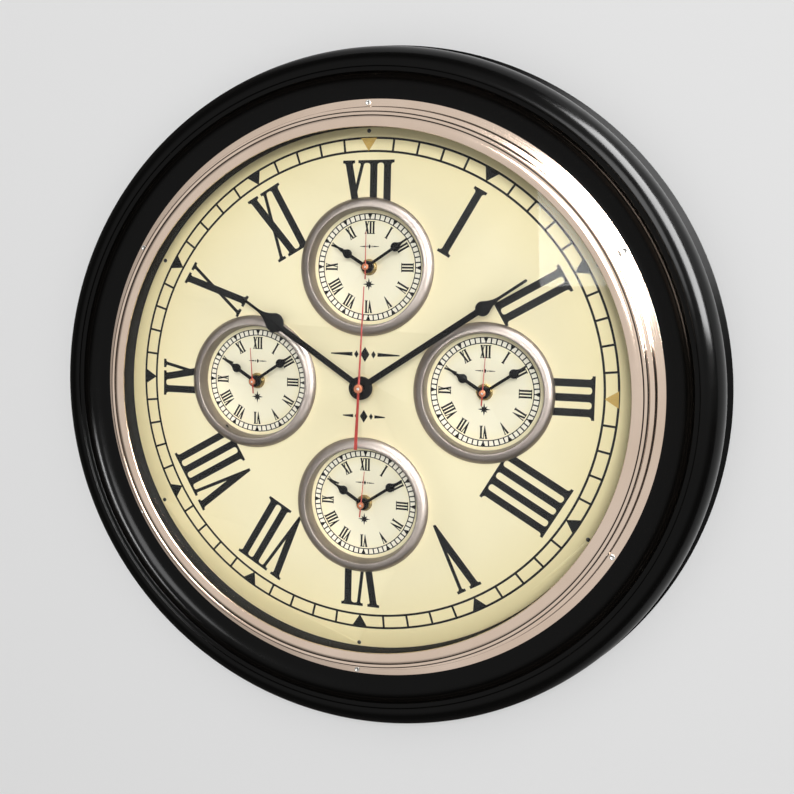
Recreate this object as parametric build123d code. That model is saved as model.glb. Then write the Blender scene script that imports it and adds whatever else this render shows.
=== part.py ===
from build123d import *
from dataclasses import dataclass
import math
import os

# Round wall clock with one large dial and four small ones, each with its own quartz movement.
# Frame: millimetres, +Z to 12 o'clock, +X to 3 o'clock, front towards -Y.
# The origin is the centre of the case's back, and y = 0 is the wall.
# Depth means distance in front of the wall, so a point at depth d has y = -d.

# Running and fitting clearances
RUN_GAP = 0.05
PRESS_GAP = 0.02
FIT_GAP = 0.3
PILOT_GAP = 0.05

# Turned case ring, widths from the dial opening outwards
OPENING_R = 172.0
SHOULDER_W = 5.5
SEAT_GAP = 1.3
COVE_W = 14.1
FILLET_W = 2.9
OVOLO_W = 16.2
BAND_STEP = 4.9
REBATE_W = 12.0

# Turned case ring, heights
SHOULDER_H = 14.0
RISER_H = 11.0
COVE_H = 9.6
FILLET_STEP = 1.4
BAND_H = 5.5
SIDE_H = 15.0

# Spun bezel
BEZEL_T = 1.2
FLANGE_T = 1.0
FLANGE_W = 5.0
RISER_LEAN = 1.6
BEZEL_LIP_W = 2.7
BEZEL_LIP_T = 1.0
STEP_H = 5.2
STEP_LEAN = 0.9
BEAD_RISE = 1.8
BEAD_CROWN = 0.6
CREASE_DROP = 0.22
BEAD_W = 2.8
LEDGE_W = 2.7
INNER_BEAD_RISE = 0.6
BEZEL_SCREWS = 6
BEZEL_SCREW_R = 0.8
BEZEL_SCREW_HEAD_R = 1.7
BEZEL_SCREW_HEAD_T = 0.7
BEZEL_SCREW_L = 9.0

# Domed glass
GLASS_T = 2.0
GLASS_RISE = 9.0
GLASS_LAND = 5.2

# Dial sheet, board and their fastenings
DIAL_T = 0.8
DIAL_RISE = 3.2
BOARD_T = 5.0
DIAL_PINS = 6
PIN_MARGIN = 2.6
PIN_R = 0.6
PIN_HEAD_R = 1.3
PIN_HEAD_T = 0.6
PIN_L = 4.0
BOARD_SCREWS = 6
BOARD_SCREW_R = 1.75
BOARD_SCREW_HEAD_R = 3.5
BOARD_SCREW_HEAD_T = 2.0
BOARD_SCREW_GRIP = 9.0

# Small dials
SUB_MOVEMENT_GAP = 8.1072
SUB_DIAL_T = 1.2
SUB_HOLE_R = 40.2
SUB_DIAL_LAP = 4.8
SUB_WALL_T = 2.3
SUB_FLANGE_W = 5.3
SUB_EDGE_T = 1.2
SUB_BEZEL_H = 5.5
SUB_LIP_W = 1.0
SUB_BULGE = 0.9
SUB_SCREWS = 4
SUB_SCREW_R = 1.1
SUB_SCREW_HEAD_R = 2.0
SUB_SCREW_HEAD_T = 1.2
SUB_SCREW_GRIP = 3.5

# Hanging plate
HANGER_W = 28.0
HANGER_LAP = 30.0
HANGER_TONGUE = 16.0
HANGER_T = 2.0
HANGER_CORNER = 3.5
HANGER_HOLE_R = 4.0
HANGER_HOLE_DROP = 7.0
HANGER_SCREWS = 2
HANGER_SCREW_PITCH = 14.0
HANGER_SCREW_R = 1.5
HANGER_SCREW_HEAD_R = 3.2
HANGER_SCREW_L = 14.0

# Movement housing
MOVEMENT_SIDE = 56.0
MOVEMENT_DEPTH = 15.6
MOVEMENT_CORNER = 3.0
SIDE_WALL = 1.6
FRONT_WALL = 1.5
BAY_WALL = 1.2
COVER_T = 1.5
COVER_LEDGE = 0.8
BUSH_R = 3.75
BUSH_PROUD = 0.4
REAR_CLEAR = 1.1
KNOB_GAP = 0.3
KNOB_T = 2.0
KNOB_R = 4.5

# Battery and contacts
BATTERY_R = 7.1
BATTERY_BODY_L = 49.2
BATTERY_NUB_R = 2.6
BATTERY_NUB_L = 1.3
BATTERY_GAP = 0.1
CONTACT_T = 0.4
CONTACT_W = 9.0
CONTACT_GAP = 0.3

# Nut and washer on each bush
WASHER_T = 0.5
WASHER_R = 5.4
NUT_T = 2.5
NUT_FLATS = 9.2

# Arbors and motion work
HOUR_TUBE_R = 2.6
CENTRE_ARBOR_R = 1.6
SECONDS_ARBOR_R = 0.5
SETTING_ARBOR_R = 1.0
SETTING_PIVOT_R = 0.5
SETTING_PIVOT_L = 1.0
CENTRE_DISTANCE = 10.0
CANNON_TEETH = 8
MINUTE_WHEEL_TEETH = 24
MINUTE_PINION_TEETH = 8
HOUR_WHEEL_TEETH = 32
PRESSURE_ANGLE = math.radians(20)
ADDENDUM = 0.75
DEDENDUM = 1.0
BACKLASH = 0.14
GEAR_T = 1.2
GEAR_SIDE_GAP = 0.3
LAYER_GAP = 0.7
CANNON_EXTRA = 0.2
PIVOT_DEPTH = 0.8

# Hands of every dial
ARBOR_PROUD = 0.4
COLLET_WALL = 1.3

# Hands of the large dial, with their rest angles in degrees from 12
MAIN_HUB_R = 7.6
MAIN_HAND_T = 0.8
MAIN_SHAFT_W = 4.0
MAIN_HOUR_L = 105.0
MAIN_HOUR_SPADE_AT = 73.6
MAIN_HOUR_SPADE_R = 6.5
MAIN_HOUR_NECK = 16.0
MAIN_HOUR_TIP_W = 1.8
MAIN_HOUR_GAP = 2.4
MAIN_HOUR_ANGLE = 303.6
MAIN_MINUTE_L = 127.3
MAIN_MINUTE_SPADE_AT = 95.0
MAIN_MINUTE_SPADE_R = 4.7
MAIN_MINUTE_NECK = 13.0
MAIN_MINUTE_TIP_W = 1.8
MAIN_MINUTE_GAP = 0.8
MAIN_MINUTE_ANGLE = 55.7
MAIN_SECOND_L = 66.0
MAIN_SECOND_TAIL = 40.0
MAIN_SECOND_ROOT_W = 1.4
MAIN_SECOND_TIP_W = 0.6
MAIN_SECOND_TAIL_W = 2.2
MAIN_SECOND_T = 0.4
MAIN_SECOND_GAP = 1.0
MAIN_SECOND_ANGLE = 2.0
MAIN_COLLET_R = 2.8
MAIN_COLLET_BELOW = 1.0
MAIN_COLLET_ABOVE = 1.8

# Hands of the small dials
SUB_HUB_R = 3.5
SUB_HAND_T = 0.6
SUB_HOUR_L = 27.6
SUB_HOUR_SPADE_AT = 16.0
SUB_HOUR_SPADE_R = 3.0
SUB_HOUR_NECK = 6.0
SUB_HOUR_SHAFT_W = 2.2
SUB_HOUR_TIP_W = 1.3
SUB_HOUR_GAP = 0.6
SUB_HOUR_ANGLE = 302.0
SUB_MINUTE_L = 33.0
SUB_MINUTE_SPADE_AT = 23.2
SUB_MINUTE_SPADE_R = 3.0
SUB_MINUTE_NECK = 6.0
SUB_MINUTE_SHAFT_W = 1.9
SUB_MINUTE_TIP_W = 1.3
SUB_MINUTE_GAP = 0.4
SUB_MINUTE_ANGLE = 55.7
SUB_SECOND_L = 23.0
SUB_SECOND_TAIL = 8.0
SUB_SECOND_ROOT_W = 0.7
SUB_SECOND_TIP_W = 0.4
SUB_SECOND_TAIL_W = 0.9
SUB_SECOND_T = 0.3
SUB_SECOND_GAP = 0.2
SUB_COLLET_R = 2.1
SUB_COLLET_BELOW = 0.8
SUB_COLLET_ABOVE = 1.4

# Radii and depths worked out from the sizes above
SHOULDER_R = OPENING_R + SHOULDER_W
BEZEL_BORE_R = SHOULDER_R + FIT_GAP
BEZEL_STEP_R = BEZEL_BORE_R + BEZEL_T
LEDGE_FOOT_R = BEZEL_STEP_R + STEP_LEAN
LEDGE_R = LEDGE_FOOT_R + LEDGE_W
RISER_FOOT_R = LEDGE_R + RISER_LEAN
FLANGE_R = RISER_FOOT_R + FLANGE_W
SEAT_R = FLANGE_R + SEAT_GAP
FILLET_R = SEAT_R + COVE_W
CREST_R = FILLET_R + FILLET_W
OVOLO_R = CREST_R + OVOLO_W
CASE_R = OVOLO_R + BAND_STEP
REBATE_R = OPENING_R + REBATE_W
SUB_BACK = REAR_CLEAR + KNOB_T + KNOB_GAP + MOVEMENT_DEPTH
BOARD_BACK = SUB_BACK + SUB_DIAL_T
BOARD_FRONT = BOARD_BACK + BOARD_T
DIAL_FRONT = BOARD_FRONT + DIAL_T
GLASS_SEAT = DIAL_FRONT + SHOULDER_H
BEZEL_SEAT = GLASS_SEAT - RISER_H
FILLET_D = BEZEL_SEAT + COVE_H
CREST_D = FILLET_D + FILLET_STEP
SIDE_D = BAND_H + SIDE_H
GLASS_R = OPENING_R + GLASS_LAND
LIP_R = OPENING_R - BEZEL_LIP_W
GLASS_SPHERE_R = (GLASS_R**2 + GLASS_RISE**2) / (2 * GLASS_RISE)
GLASS_APEX = GLASS_SEAT + GLASS_RISE
PIN_CIRCLE_R = OPENING_R - PIN_MARGIN
BOARD_SCREW_CIRCLE_R = (OPENING_R + SHOULDER_R) / 2
BEZEL_SCREW_CIRCLE_R = (RISER_FOOT_R + FLANGE_R) / 2
SUB_DIAL_R = SUB_HOLE_R + SUB_DIAL_LAP
SUB_SCREW_CIRCLE_R = SUB_HOLE_R + SUB_DIAL_LAP / 2
SUB_PITCH_R = MOVEMENT_SIDE / 2 + SUB_MOVEMENT_GAP + SUB_SCREW_CIRCLE_R
HANGER_TOP = REBATE_R + HANGER_LAP
HANGER_BOTTOM = REBATE_R - HANGER_TONGUE
HANGER_HOLE_Z = REBATE_R - HANGER_HOLE_DROP
HANGER_SCREW_Z = REBATE_R + (HANGER_LAP - HANGER_SCREW_PITCH * (HANGER_SCREWS - 1)) / 2
BAY_H = 2 * (BATTERY_R + BATTERY_GAP)
BATTERY_L = BATTERY_BODY_L + BATTERY_NUB_L
BUSH_TOP = WASHER_T + NUT_T + BUSH_PROUD
BAY_L = BATTERY_L + 2 * (CONTACT_T + CONTACT_GAP)
BAY_CENTRE = -(MOVEMENT_SIDE / 2 - BAY_WALL - BAY_H / 2)
CHAMBER_BOTTOM = BAY_CENTRE + BAY_H / 2 + BAY_WALL
CHAMBER_TOP = MOVEMENT_SIDE / 2 - SIDE_WALL
CHAMBER_CENTRE = (CHAMBER_TOP + CHAMBER_BOTTOM) / 2
CHAMBER_H = CHAMBER_TOP - CHAMBER_BOTTOM
CHAMBER_W = MOVEMENT_SIDE - 2 * SIDE_WALL
MINUTE_MODULE = 2 * CENTRE_DISTANCE / (CANNON_TEETH + MINUTE_WHEEL_TEETH)
HOUR_MODULE = 2 * CENTRE_DISTANCE / (MINUTE_PINION_TEETH + HOUR_WHEEL_TEETH)


@dataclass(frozen=True)
class HandSize:
    """Outline of one hour or minute hand, pointing to 12 before it is turned to its rest angle."""

    length: float
    spade_at: float
    spade_r: float
    neck: float
    shaft_w: float
    tip_w: float
    angle: float


@dataclass(frozen=True)
class SecondSize:
    """Pointer, counterweight and collet of one second hand."""

    length: float
    tail: float
    root_w: float
    tip_w: float
    tail_w: float
    thickness: float
    collet_r: float
    collet_below: float
    collet_above: float
    angle: float


@dataclass(frozen=True)
class HandSet:
    """The three hands of one dial, stacked on the bush with a gap under each collet."""

    hour: HandSize
    minute: HandSize
    second: SecondSize
    hub_r: float
    thickness: float
    hour_gap: float
    minute_gap: float
    second_gap: float

    @property
    def hour_lift(self) -> float:
        """Height of the hour hand's plate above the dial."""
        return BUSH_TOP + self.hour_gap + self.thickness

    @property
    def hour_end(self) -> float:
        """Height of the end of the hour tube above the dial."""
        return self.hour_lift + self.thickness + ARBOR_PROUD

    @property
    def minute_lift(self) -> float:
        """Height of the minute hand's plate above the dial."""
        return self.hour_end + self.minute_gap + self.thickness

    @property
    def minute_end(self) -> float:
        """Height of the end of the centre arbor above the dial."""
        return self.minute_lift + self.thickness + ARBOR_PROUD

    @property
    def second_lift(self) -> float:
        """Height of the second hand's plate above the dial."""
        return self.minute_end + self.second_gap + self.second.collet_below

    @property
    def second_end(self) -> float:
        """Height of the front of the second hand's collet above the dial."""
        return self.second_lift + self.second.collet_above


@dataclass(frozen=True)
class Zone:
    """One dial with its movement: where its arbor stands, what carries it and its hands."""

    name: str
    x: float
    z: float
    seat: float
    face: float
    hands: HandSet

    def plane(self, depth: float) -> Plane:
        """Plane across the arbor at a depth, facing the viewer, with local Y towards 12."""
        return Plane(origin=(self.x, -depth, self.z), x_dir=(1, 0, 0), z_dir=(0, -1, 0))

    def slab(self, shape: Sketch, back: float, front: float) -> Part:
        """Extrude a flat shape between two depths on this zone's arbor."""
        return extrude(self.plane(back) * shape, amount=front - back)

    def behind(self, distance: float) -> float:
        """Depth of a layer that lies a distance behind the movement's front face."""
        return self.seat - distance


MAIN_HOUR = HandSize(
    length=MAIN_HOUR_L,
    spade_at=MAIN_HOUR_SPADE_AT,
    spade_r=MAIN_HOUR_SPADE_R,
    neck=MAIN_HOUR_NECK,
    shaft_w=MAIN_SHAFT_W,
    tip_w=MAIN_HOUR_TIP_W,
    angle=MAIN_HOUR_ANGLE,
)
MAIN_MINUTE = HandSize(
    length=MAIN_MINUTE_L,
    spade_at=MAIN_MINUTE_SPADE_AT,
    spade_r=MAIN_MINUTE_SPADE_R,
    neck=MAIN_MINUTE_NECK,
    shaft_w=MAIN_SHAFT_W,
    tip_w=MAIN_MINUTE_TIP_W,
    angle=MAIN_MINUTE_ANGLE,
)
MAIN_SECOND = SecondSize(
    length=MAIN_SECOND_L,
    tail=MAIN_SECOND_TAIL,
    root_w=MAIN_SECOND_ROOT_W,
    tip_w=MAIN_SECOND_TIP_W,
    tail_w=MAIN_SECOND_TAIL_W,
    thickness=MAIN_SECOND_T,
    collet_r=MAIN_COLLET_R,
    collet_below=MAIN_COLLET_BELOW,
    collet_above=MAIN_COLLET_ABOVE,
    angle=MAIN_SECOND_ANGLE,
)
MAIN_HANDS = HandSet(
    hour=MAIN_HOUR,
    minute=MAIN_MINUTE,
    second=MAIN_SECOND,
    hub_r=MAIN_HUB_R,
    thickness=MAIN_HAND_T,
    hour_gap=MAIN_HOUR_GAP,
    minute_gap=MAIN_MINUTE_GAP,
    second_gap=MAIN_SECOND_GAP,
)
SUB_HOUR = HandSize(
    length=SUB_HOUR_L,
    spade_at=SUB_HOUR_SPADE_AT,
    spade_r=SUB_HOUR_SPADE_R,
    neck=SUB_HOUR_NECK,
    shaft_w=SUB_HOUR_SHAFT_W,
    tip_w=SUB_HOUR_TIP_W,
    angle=SUB_HOUR_ANGLE,
)
SUB_MINUTE = HandSize(
    length=SUB_MINUTE_L,
    spade_at=SUB_MINUTE_SPADE_AT,
    spade_r=SUB_MINUTE_SPADE_R,
    neck=SUB_MINUTE_NECK,
    shaft_w=SUB_MINUTE_SHAFT_W,
    tip_w=SUB_MINUTE_TIP_W,
    angle=SUB_MINUTE_ANGLE,
)


def sub_hands(second_angle: float) -> HandSet:
    """Hands of a small dial, with its second hand at a rest angle."""
    second = SecondSize(
        length=SUB_SECOND_L,
        tail=SUB_SECOND_TAIL,
        root_w=SUB_SECOND_ROOT_W,
        tip_w=SUB_SECOND_TIP_W,
        tail_w=SUB_SECOND_TAIL_W,
        thickness=SUB_SECOND_T,
        collet_r=SUB_COLLET_R,
        collet_below=SUB_COLLET_BELOW,
        collet_above=SUB_COLLET_ABOVE,
        angle=second_angle,
    )
    return HandSet(
        hour=SUB_HOUR,
        minute=SUB_MINUTE,
        second=second,
        hub_r=SUB_HUB_R,
        thickness=SUB_HAND_T,
        hour_gap=SUB_HOUR_GAP,
        minute_gap=SUB_MINUTE_GAP,
        second_gap=SUB_SECOND_GAP,
    )


def sub_zone(name: str, clock_angle: float, second_angle: float) -> Zone:
    """Zone of a small dial on the pitch circle, by its angle from 12."""
    turn = math.radians(clock_angle)
    x = SUB_PITCH_R * math.sin(turn)
    z = DIAL_RISE + SUB_PITCH_R * math.cos(turn)
    return Zone(name, x, z, seat=SUB_BACK, face=BOARD_BACK, hands=sub_hands(second_angle))


CASE = Zone("case", 0.0, 0.0, seat=BOARD_BACK, face=DIAL_FRONT, hands=MAIN_HANDS)
MAIN = Zone("main", 0.0, DIAL_RISE, seat=BOARD_BACK, face=DIAL_FRONT, hands=MAIN_HANDS)
SUBS = [
    sub_zone("top", clock_angle=0.0, second_angle=0.0),
    sub_zone("right", clock_angle=90.0, second_angle=3.0),
    sub_zone("bottom", clock_angle=180.0, second_angle=5.0),
    sub_zone("left", clock_angle=270.0, second_angle=-4.7),
]
ZONES = [MAIN] + SUBS
PROFILE = Plane(origin=(0, 0, 0), x_dir=(1, 0, 0), z_dir=(0, 0, -1))


def turned(edges: list) -> Part:
    """Revolve a closed profile of radius and depth about the clock's axis."""
    return revolve(PROFILE * make_face(edges), axis=Axis.Y)


def turned_on(zone: Zone, edges: list) -> Part:
    """Revolve a profile about one zone's arbor."""
    return Pos(zone.x, 0, zone.z) * turned(edges)


def ring_places(count: int, radius: float, first: float = 0.0) -> list:
    """Places on a circle, counted clockwise from 12 o'clock, as x and z."""
    turns = [math.radians(first + index * 360 / count) for index in range(count)]
    return [(radius * math.sin(turn), radius * math.cos(turn)) for turn in turns]


def rods(places: list, radius: float, back: float, front: float) -> list:
    """Round bars of one radius at each place, between two depths."""
    return [CASE.slab(Pos(x, z) * Circle(radius), back, front) for x, z in places]


BEZEL_SCREW_PLACES = ring_places(BEZEL_SCREWS, BEZEL_SCREW_CIRCLE_R)
PIN_PLACES = ring_places(DIAL_PINS, PIN_CIRCLE_R)
BOARD_SCREW_PLACES = ring_places(BOARD_SCREWS, BOARD_SCREW_CIRCLE_R, 180 / BOARD_SCREWS)
SUB_SCREW_PLACES = [
    (zone.x + x, zone.z + z)
    for zone in SUBS
    for x, z in ring_places(SUB_SCREWS, SUB_SCREW_CIRCLE_R)
]
HANGER_SCREW_PLACES = [
    (0.0, HANGER_SCREW_Z + index * HANGER_SCREW_PITCH) for index in range(HANGER_SCREWS)
]
BEZEL_SCREW_END = BEZEL_SEAT + FLANGE_T - BEZEL_SCREW_L
BOARD_SCREW_END = BOARD_FRONT + BOARD_SCREW_GRIP
SUB_SCREW_END = BOARD_BACK + SUB_SCREW_GRIP
PIN_END = DIAL_FRONT - PIN_L


def case_ring() -> Part:
    """Turned wooden ring: base band, side, ovolo, fillet, cove, bezel seat, glass shoulder and rebate."""
    outline = Polyline(
        (SEAT_R, BEZEL_SEAT),
        (SHOULDER_R, BEZEL_SEAT),
        (SHOULDER_R, GLASS_SEAT),
        (OPENING_R, GLASS_SEAT),
        (OPENING_R, BOARD_FRONT),
        (REBATE_R, BOARD_FRONT),
        (REBATE_R, 0),
        (CASE_R, 0),
        (CASE_R, BAND_H),
        (OVOLO_R, BAND_H),
        (OVOLO_R, SIDE_D),
    )
    ovolo = EllipticalCenterArc((CREST_R, SIDE_D), OVOLO_W, CREST_D - SIDE_D, 0, arc_size=90)
    fillet = Polyline((CREST_R, CREST_D), (CREST_R, FILLET_D), (FILLET_R, FILLET_D))
    cove = EllipticalCenterArc((SEAT_R, FILLET_D), COVE_W, COVE_H, 270, arc_size=90)
    ring = turned([outline, ovolo, fillet, cove])
    ring -= rods(BEZEL_SCREW_PLACES, BEZEL_SCREW_R + PILOT_GAP, BEZEL_SCREW_END - FIT_GAP, BEZEL_SEAT)
    ring -= rods(BOARD_SCREW_PLACES, BOARD_SCREW_R + PILOT_GAP, BOARD_FRONT, BOARD_SCREW_END + FIT_GAP)
    ring -= rods(HANGER_SCREW_PLACES, HANGER_SCREW_R + PILOT_GAP, 0, HANGER_SCREW_L + FIT_GAP)
    middle = (HANGER_TOP + HANGER_BOTTOM) / 2
    pocket = Rectangle(HANGER_W + 2 * FIT_GAP, HANGER_TOP - HANGER_BOTTOM + 2 * FIT_GAP)
    return ring - CASE.slab(Pos(0, middle) * pocket, 0, HANGER_T)


def bezel() -> Part:
    """Spun metal bezel: flat flange, riser, ledge, step, bead, crease and broad band over the glass."""
    glass_top = GLASS_APEX + GLASS_T - LIP_R**2 / (2 * GLASS_SPHERE_R)
    lip_bottom = glass_top + FIT_GAP
    lip_top = lip_bottom + BEZEL_LIP_T
    crease_r = BEZEL_STEP_R - BEAD_W
    crease_d = lip_top - CREASE_DROP
    step_d = crease_d - BEAD_RISE
    ledge_d = step_d - STEP_H
    inner_middle = (crease_r + LIP_R) / 2
    outline = Polyline(
        (LIP_R, lip_top),
        (LIP_R, lip_bottom),
        (BEZEL_BORE_R, lip_bottom),
        (BEZEL_BORE_R, ledge_d - BEZEL_T),
        (LEDGE_R - BEZEL_T, ledge_d - BEZEL_T),
        (RISER_FOOT_R - BEZEL_T, BEZEL_SEAT),
        (FLANGE_R, BEZEL_SEAT),
        (FLANGE_R, BEZEL_SEAT + FLANGE_T),
        (RISER_FOOT_R, BEZEL_SEAT + FLANGE_T),
        (LEDGE_R, ledge_d),
        (LEDGE_FOOT_R, ledge_d),
        (BEZEL_STEP_R, step_d),
    )
    bead_middle = (BEZEL_STEP_R + crease_r) / 2
    bead_crown = (bead_middle, crease_d + BEAD_CROWN)
    inner_crown = (inner_middle, lip_top + INNER_BEAD_RISE)
    bead = ThreePointArc((BEZEL_STEP_R, step_d), bead_crown, (crease_r, crease_d))
    inner = ThreePointArc((crease_r, crease_d), inner_crown, (LIP_R, lip_top))
    ring = turned([outline, bead, inner])
    return ring - rods(BEZEL_SCREW_PLACES, BEZEL_SCREW_R + PILOT_GAP, BEZEL_SEAT, BEZEL_SEAT + FLANGE_T)


def front_glass() -> Part:
    """Domed glass of even thickness, resting by its rim on the case shoulder."""
    half = math.degrees(math.asin(GLASS_R / GLASS_SPHERE_R))
    centre = GLASS_APEX - GLASS_SPHERE_R
    inner = CenterArc((0, centre), GLASS_SPHERE_R, 90 - half, half)
    outer = CenterArc((0, centre + GLASS_T), GLASS_SPHERE_R, 90 - half, half)
    return turned([inner, Line(inner @ 0, outer @ 0), outer, Line(outer @ 1, inner @ 1)])


def dial_plate() -> Part:
    """Printed dial sheet with holes for the bush, the small dials and the pins."""
    openings = [Pos(MAIN.x, MAIN.z) * Circle(BUSH_R + FIT_GAP)]
    openings += [Pos(zone.x, zone.z) * Circle(SUB_HOLE_R) for zone in SUBS]
    openings += [Pos(x, z) * Circle(PIN_R + PILOT_GAP) for x, z in PIN_PLACES]
    return CASE.slab(Circle(OPENING_R - FIT_GAP) - openings, BOARD_FRONT, DIAL_FRONT)


def dial_board() -> Part:
    """Board behind the dial, held in the case rebate, with the small dials let through it."""
    openings = [Pos(MAIN.x, MAIN.z) * Circle(BUSH_R + FIT_GAP)]
    openings += [Pos(zone.x, zone.z) * Circle(SUB_HOLE_R) for zone in SUBS]
    openings += [Pos(x, z) * Circle(BOARD_SCREW_R + PILOT_GAP) for x, z in BOARD_SCREW_PLACES]
    board = CASE.slab(Circle(REBATE_R - FIT_GAP) - openings, BOARD_BACK, BOARD_FRONT)
    board -= rods(PIN_PLACES, PIN_R + PILOT_GAP, PIN_END - FIT_GAP, BOARD_FRONT)
    return board - rods(SUB_SCREW_PLACES, SUB_SCREW_R + PILOT_GAP, BOARD_BACK, SUB_SCREW_END + FIT_GAP)


def headed(places: list, radius: float, back: float, front: float, head: tuple) -> list:
    """Pan-headed fasteners: a shank between two depths and a head of a radius and two depths."""
    shanks = rods(places, radius, back, front)
    heads = rods(places, *head)
    return [shank + top for shank, top in zip(shanks, heads)]


def bezel_screws() -> list:
    """Small screws through the bezel flange into the case ring."""
    top = BEZEL_SEAT + FLANGE_T
    head = (BEZEL_SCREW_HEAD_R, top, top + BEZEL_SCREW_HEAD_T)
    return headed(BEZEL_SCREW_PLACES, BEZEL_SCREW_R, BEZEL_SCREW_END, top, head)


def dial_pins() -> list:
    """Pins that hold the edge of the dial sheet to the board."""
    head = (PIN_HEAD_R, DIAL_FRONT, DIAL_FRONT + PIN_HEAD_T)
    return headed(PIN_PLACES, PIN_R, PIN_END, DIAL_FRONT, head)


def board_screws() -> list:
    """Wood screws from behind, through the board into the case shoulder."""
    head = (BOARD_SCREW_HEAD_R, BOARD_BACK - BOARD_SCREW_HEAD_T, BOARD_BACK)
    return headed(BOARD_SCREW_PLACES, BOARD_SCREW_R, BOARD_BACK, BOARD_SCREW_END, head)


def sub_dial_screws() -> list:
    """Screws that hold each small dial's plate to the back of the board."""
    head = (SUB_SCREW_HEAD_R, SUB_BACK - SUB_SCREW_HEAD_T, SUB_BACK)
    return headed(SUB_SCREW_PLACES, SUB_SCREW_R, SUB_BACK, SUB_SCREW_END, head)


def countersunk(place: tuple, spread: float) -> Part:
    """Countersunk screw form, grown sideways by a spread, with its head flush at the back."""
    x, z = place
    head_r = HANGER_SCREW_HEAD_R + spread
    shank_r = HANGER_SCREW_R + spread
    end = HANGER_SCREW_L
    edges = Polyline((0, 0), (head_r, 0), (shank_r, HANGER_T), (shank_r, end), (0, end), close=True)
    return Pos(x, 0, z) * turned([edges])


def hanger_plate() -> Part:
    """Steel plate let into the back of the case, with a tongue and a hole for the wall hook."""
    middle = (HANGER_TOP + HANGER_BOTTOM) / 2
    plate = CASE.slab(Pos(0, middle) * Rectangle(HANGER_W, HANGER_TOP - HANGER_BOTTOM), 0, HANGER_T)
    plate = fillet(plate.edges().filter_by(Axis.Y), HANGER_CORNER)
    plate -= CASE.slab(Pos(0, HANGER_HOLE_Z) * Circle(HANGER_HOLE_R), 0, HANGER_T)
    return plate - [countersunk(place, PILOT_GAP) for place in HANGER_SCREW_PLACES]


def hanger_screws() -> list:
    """Countersunk screws that hold the hanging plate, flush with the back."""
    return [countersunk(place, 0) for place in HANGER_SCREW_PLACES]


def sub_bezel(zone: Zone) -> Part:
    """Metal ring of a small dial: barrel through the board, flange, rounded face and lip."""
    barrel_r = SUB_HOLE_R - FIT_GAP
    bore_r = barrel_r - SUB_WALL_T
    top = DIAL_FRONT + SUB_BEZEL_H
    foot = Vector(barrel_r + SUB_FLANGE_W, DIAL_FRONT + SUB_EDGE_T)
    lip = Vector(bore_r + 2 * SUB_LIP_W, top)
    crown = (foot + lip) / 2 + (lip - foot).normalized().rotate(Axis.Z, -90) * SUB_BULGE
    outline = Polyline(
        lip,
        (bore_r + SUB_LIP_W, top),
        (bore_r, BOARD_BACK + FIT_GAP),
        (barrel_r, BOARD_BACK + FIT_GAP),
        (barrel_r, DIAL_FRONT),
        (barrel_r + SUB_FLANGE_W, DIAL_FRONT),
        foot,
    )
    return turned_on(zone, [outline, ThreePointArc(foot, crown, lip)])


def sub_dial(zone: Zone) -> Part:
    """Plate that carries a small dial and its movement, screwed to the back of the board."""
    openings = [Circle(BUSH_R + FIT_GAP)]
    places = ring_places(SUB_SCREWS, SUB_SCREW_CIRCLE_R)
    openings += [Pos(x, z) * Circle(SUB_SCREW_R + PILOT_GAP) for x, z in places]
    return zone.slab(Circle(SUB_DIAL_R) - openings, SUB_BACK, BOARD_BACK)


def bush_end(zone: Zone) -> float:
    """Depth of the front end of a movement's threaded bush."""
    return zone.face + BUSH_TOP


def movement_case(zone: Zone) -> Part:
    """Movement housing with gear chamber, open battery bay and the bush through the dial."""
    back = zone.behind(MOVEMENT_DEPTH)
    body = zone.slab(RectangleRounded(MOVEMENT_SIDE, MOVEMENT_SIDE, MOVEMENT_CORNER), back, zone.seat)
    body += zone.slab(Circle(BUSH_R), zone.seat, bush_end(zone))
    chamber = Pos(0, CHAMBER_CENTRE) * Rectangle(CHAMBER_W, CHAMBER_H)
    body -= zone.slab(chamber, back, zone.behind(FRONT_WALL))
    ledge = Pos(0, CHAMBER_CENTRE) * Rectangle(CHAMBER_W + 2 * COVER_LEDGE, CHAMBER_H + 2 * COVER_LEDGE)
    body -= zone.slab(ledge, back, back + COVER_T)
    bay = Pos(0, BAY_CENTRE) * Rectangle(BAY_L, BAY_H)
    body -= zone.slab(bay, back, zone.behind(BAY_WALL))
    body -= zone.slab(Circle(HOUR_TUBE_R + RUN_GAP), zone.behind(FRONT_WALL), bush_end(zone))
    pivot = Pos(0, CENTRE_DISTANCE) * Circle(SETTING_PIVOT_R + RUN_GAP)
    return body - zone.slab(pivot, zone.behind(FRONT_WALL), zone.behind(FRONT_WALL - SETTING_PIVOT_L))


def movement_cover(zone: Zone) -> Part:
    """Rear cover of the gear chamber, with the bearings of the centre and setting arbors."""
    back = zone.behind(MOVEMENT_DEPTH)
    inside = back + COVER_T
    reach = 2 * (COVER_LEDGE - RUN_GAP)
    plate = Pos(0, CHAMBER_CENTRE) * Rectangle(CHAMBER_W + reach, CHAMBER_H + reach)
    cover = zone.slab(plate, back, inside)
    cover -= zone.slab(Pos(0, CENTRE_DISTANCE) * Circle(SETTING_ARBOR_R + RUN_GAP), back, inside)
    cover -= zone.slab(Circle(CENTRE_ARBOR_R + RUN_GAP), inside - PIVOT_DEPTH, inside)
    return cover - zone.slab(Circle(SECONDS_ARBOR_R + RUN_GAP), back, inside)


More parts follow.
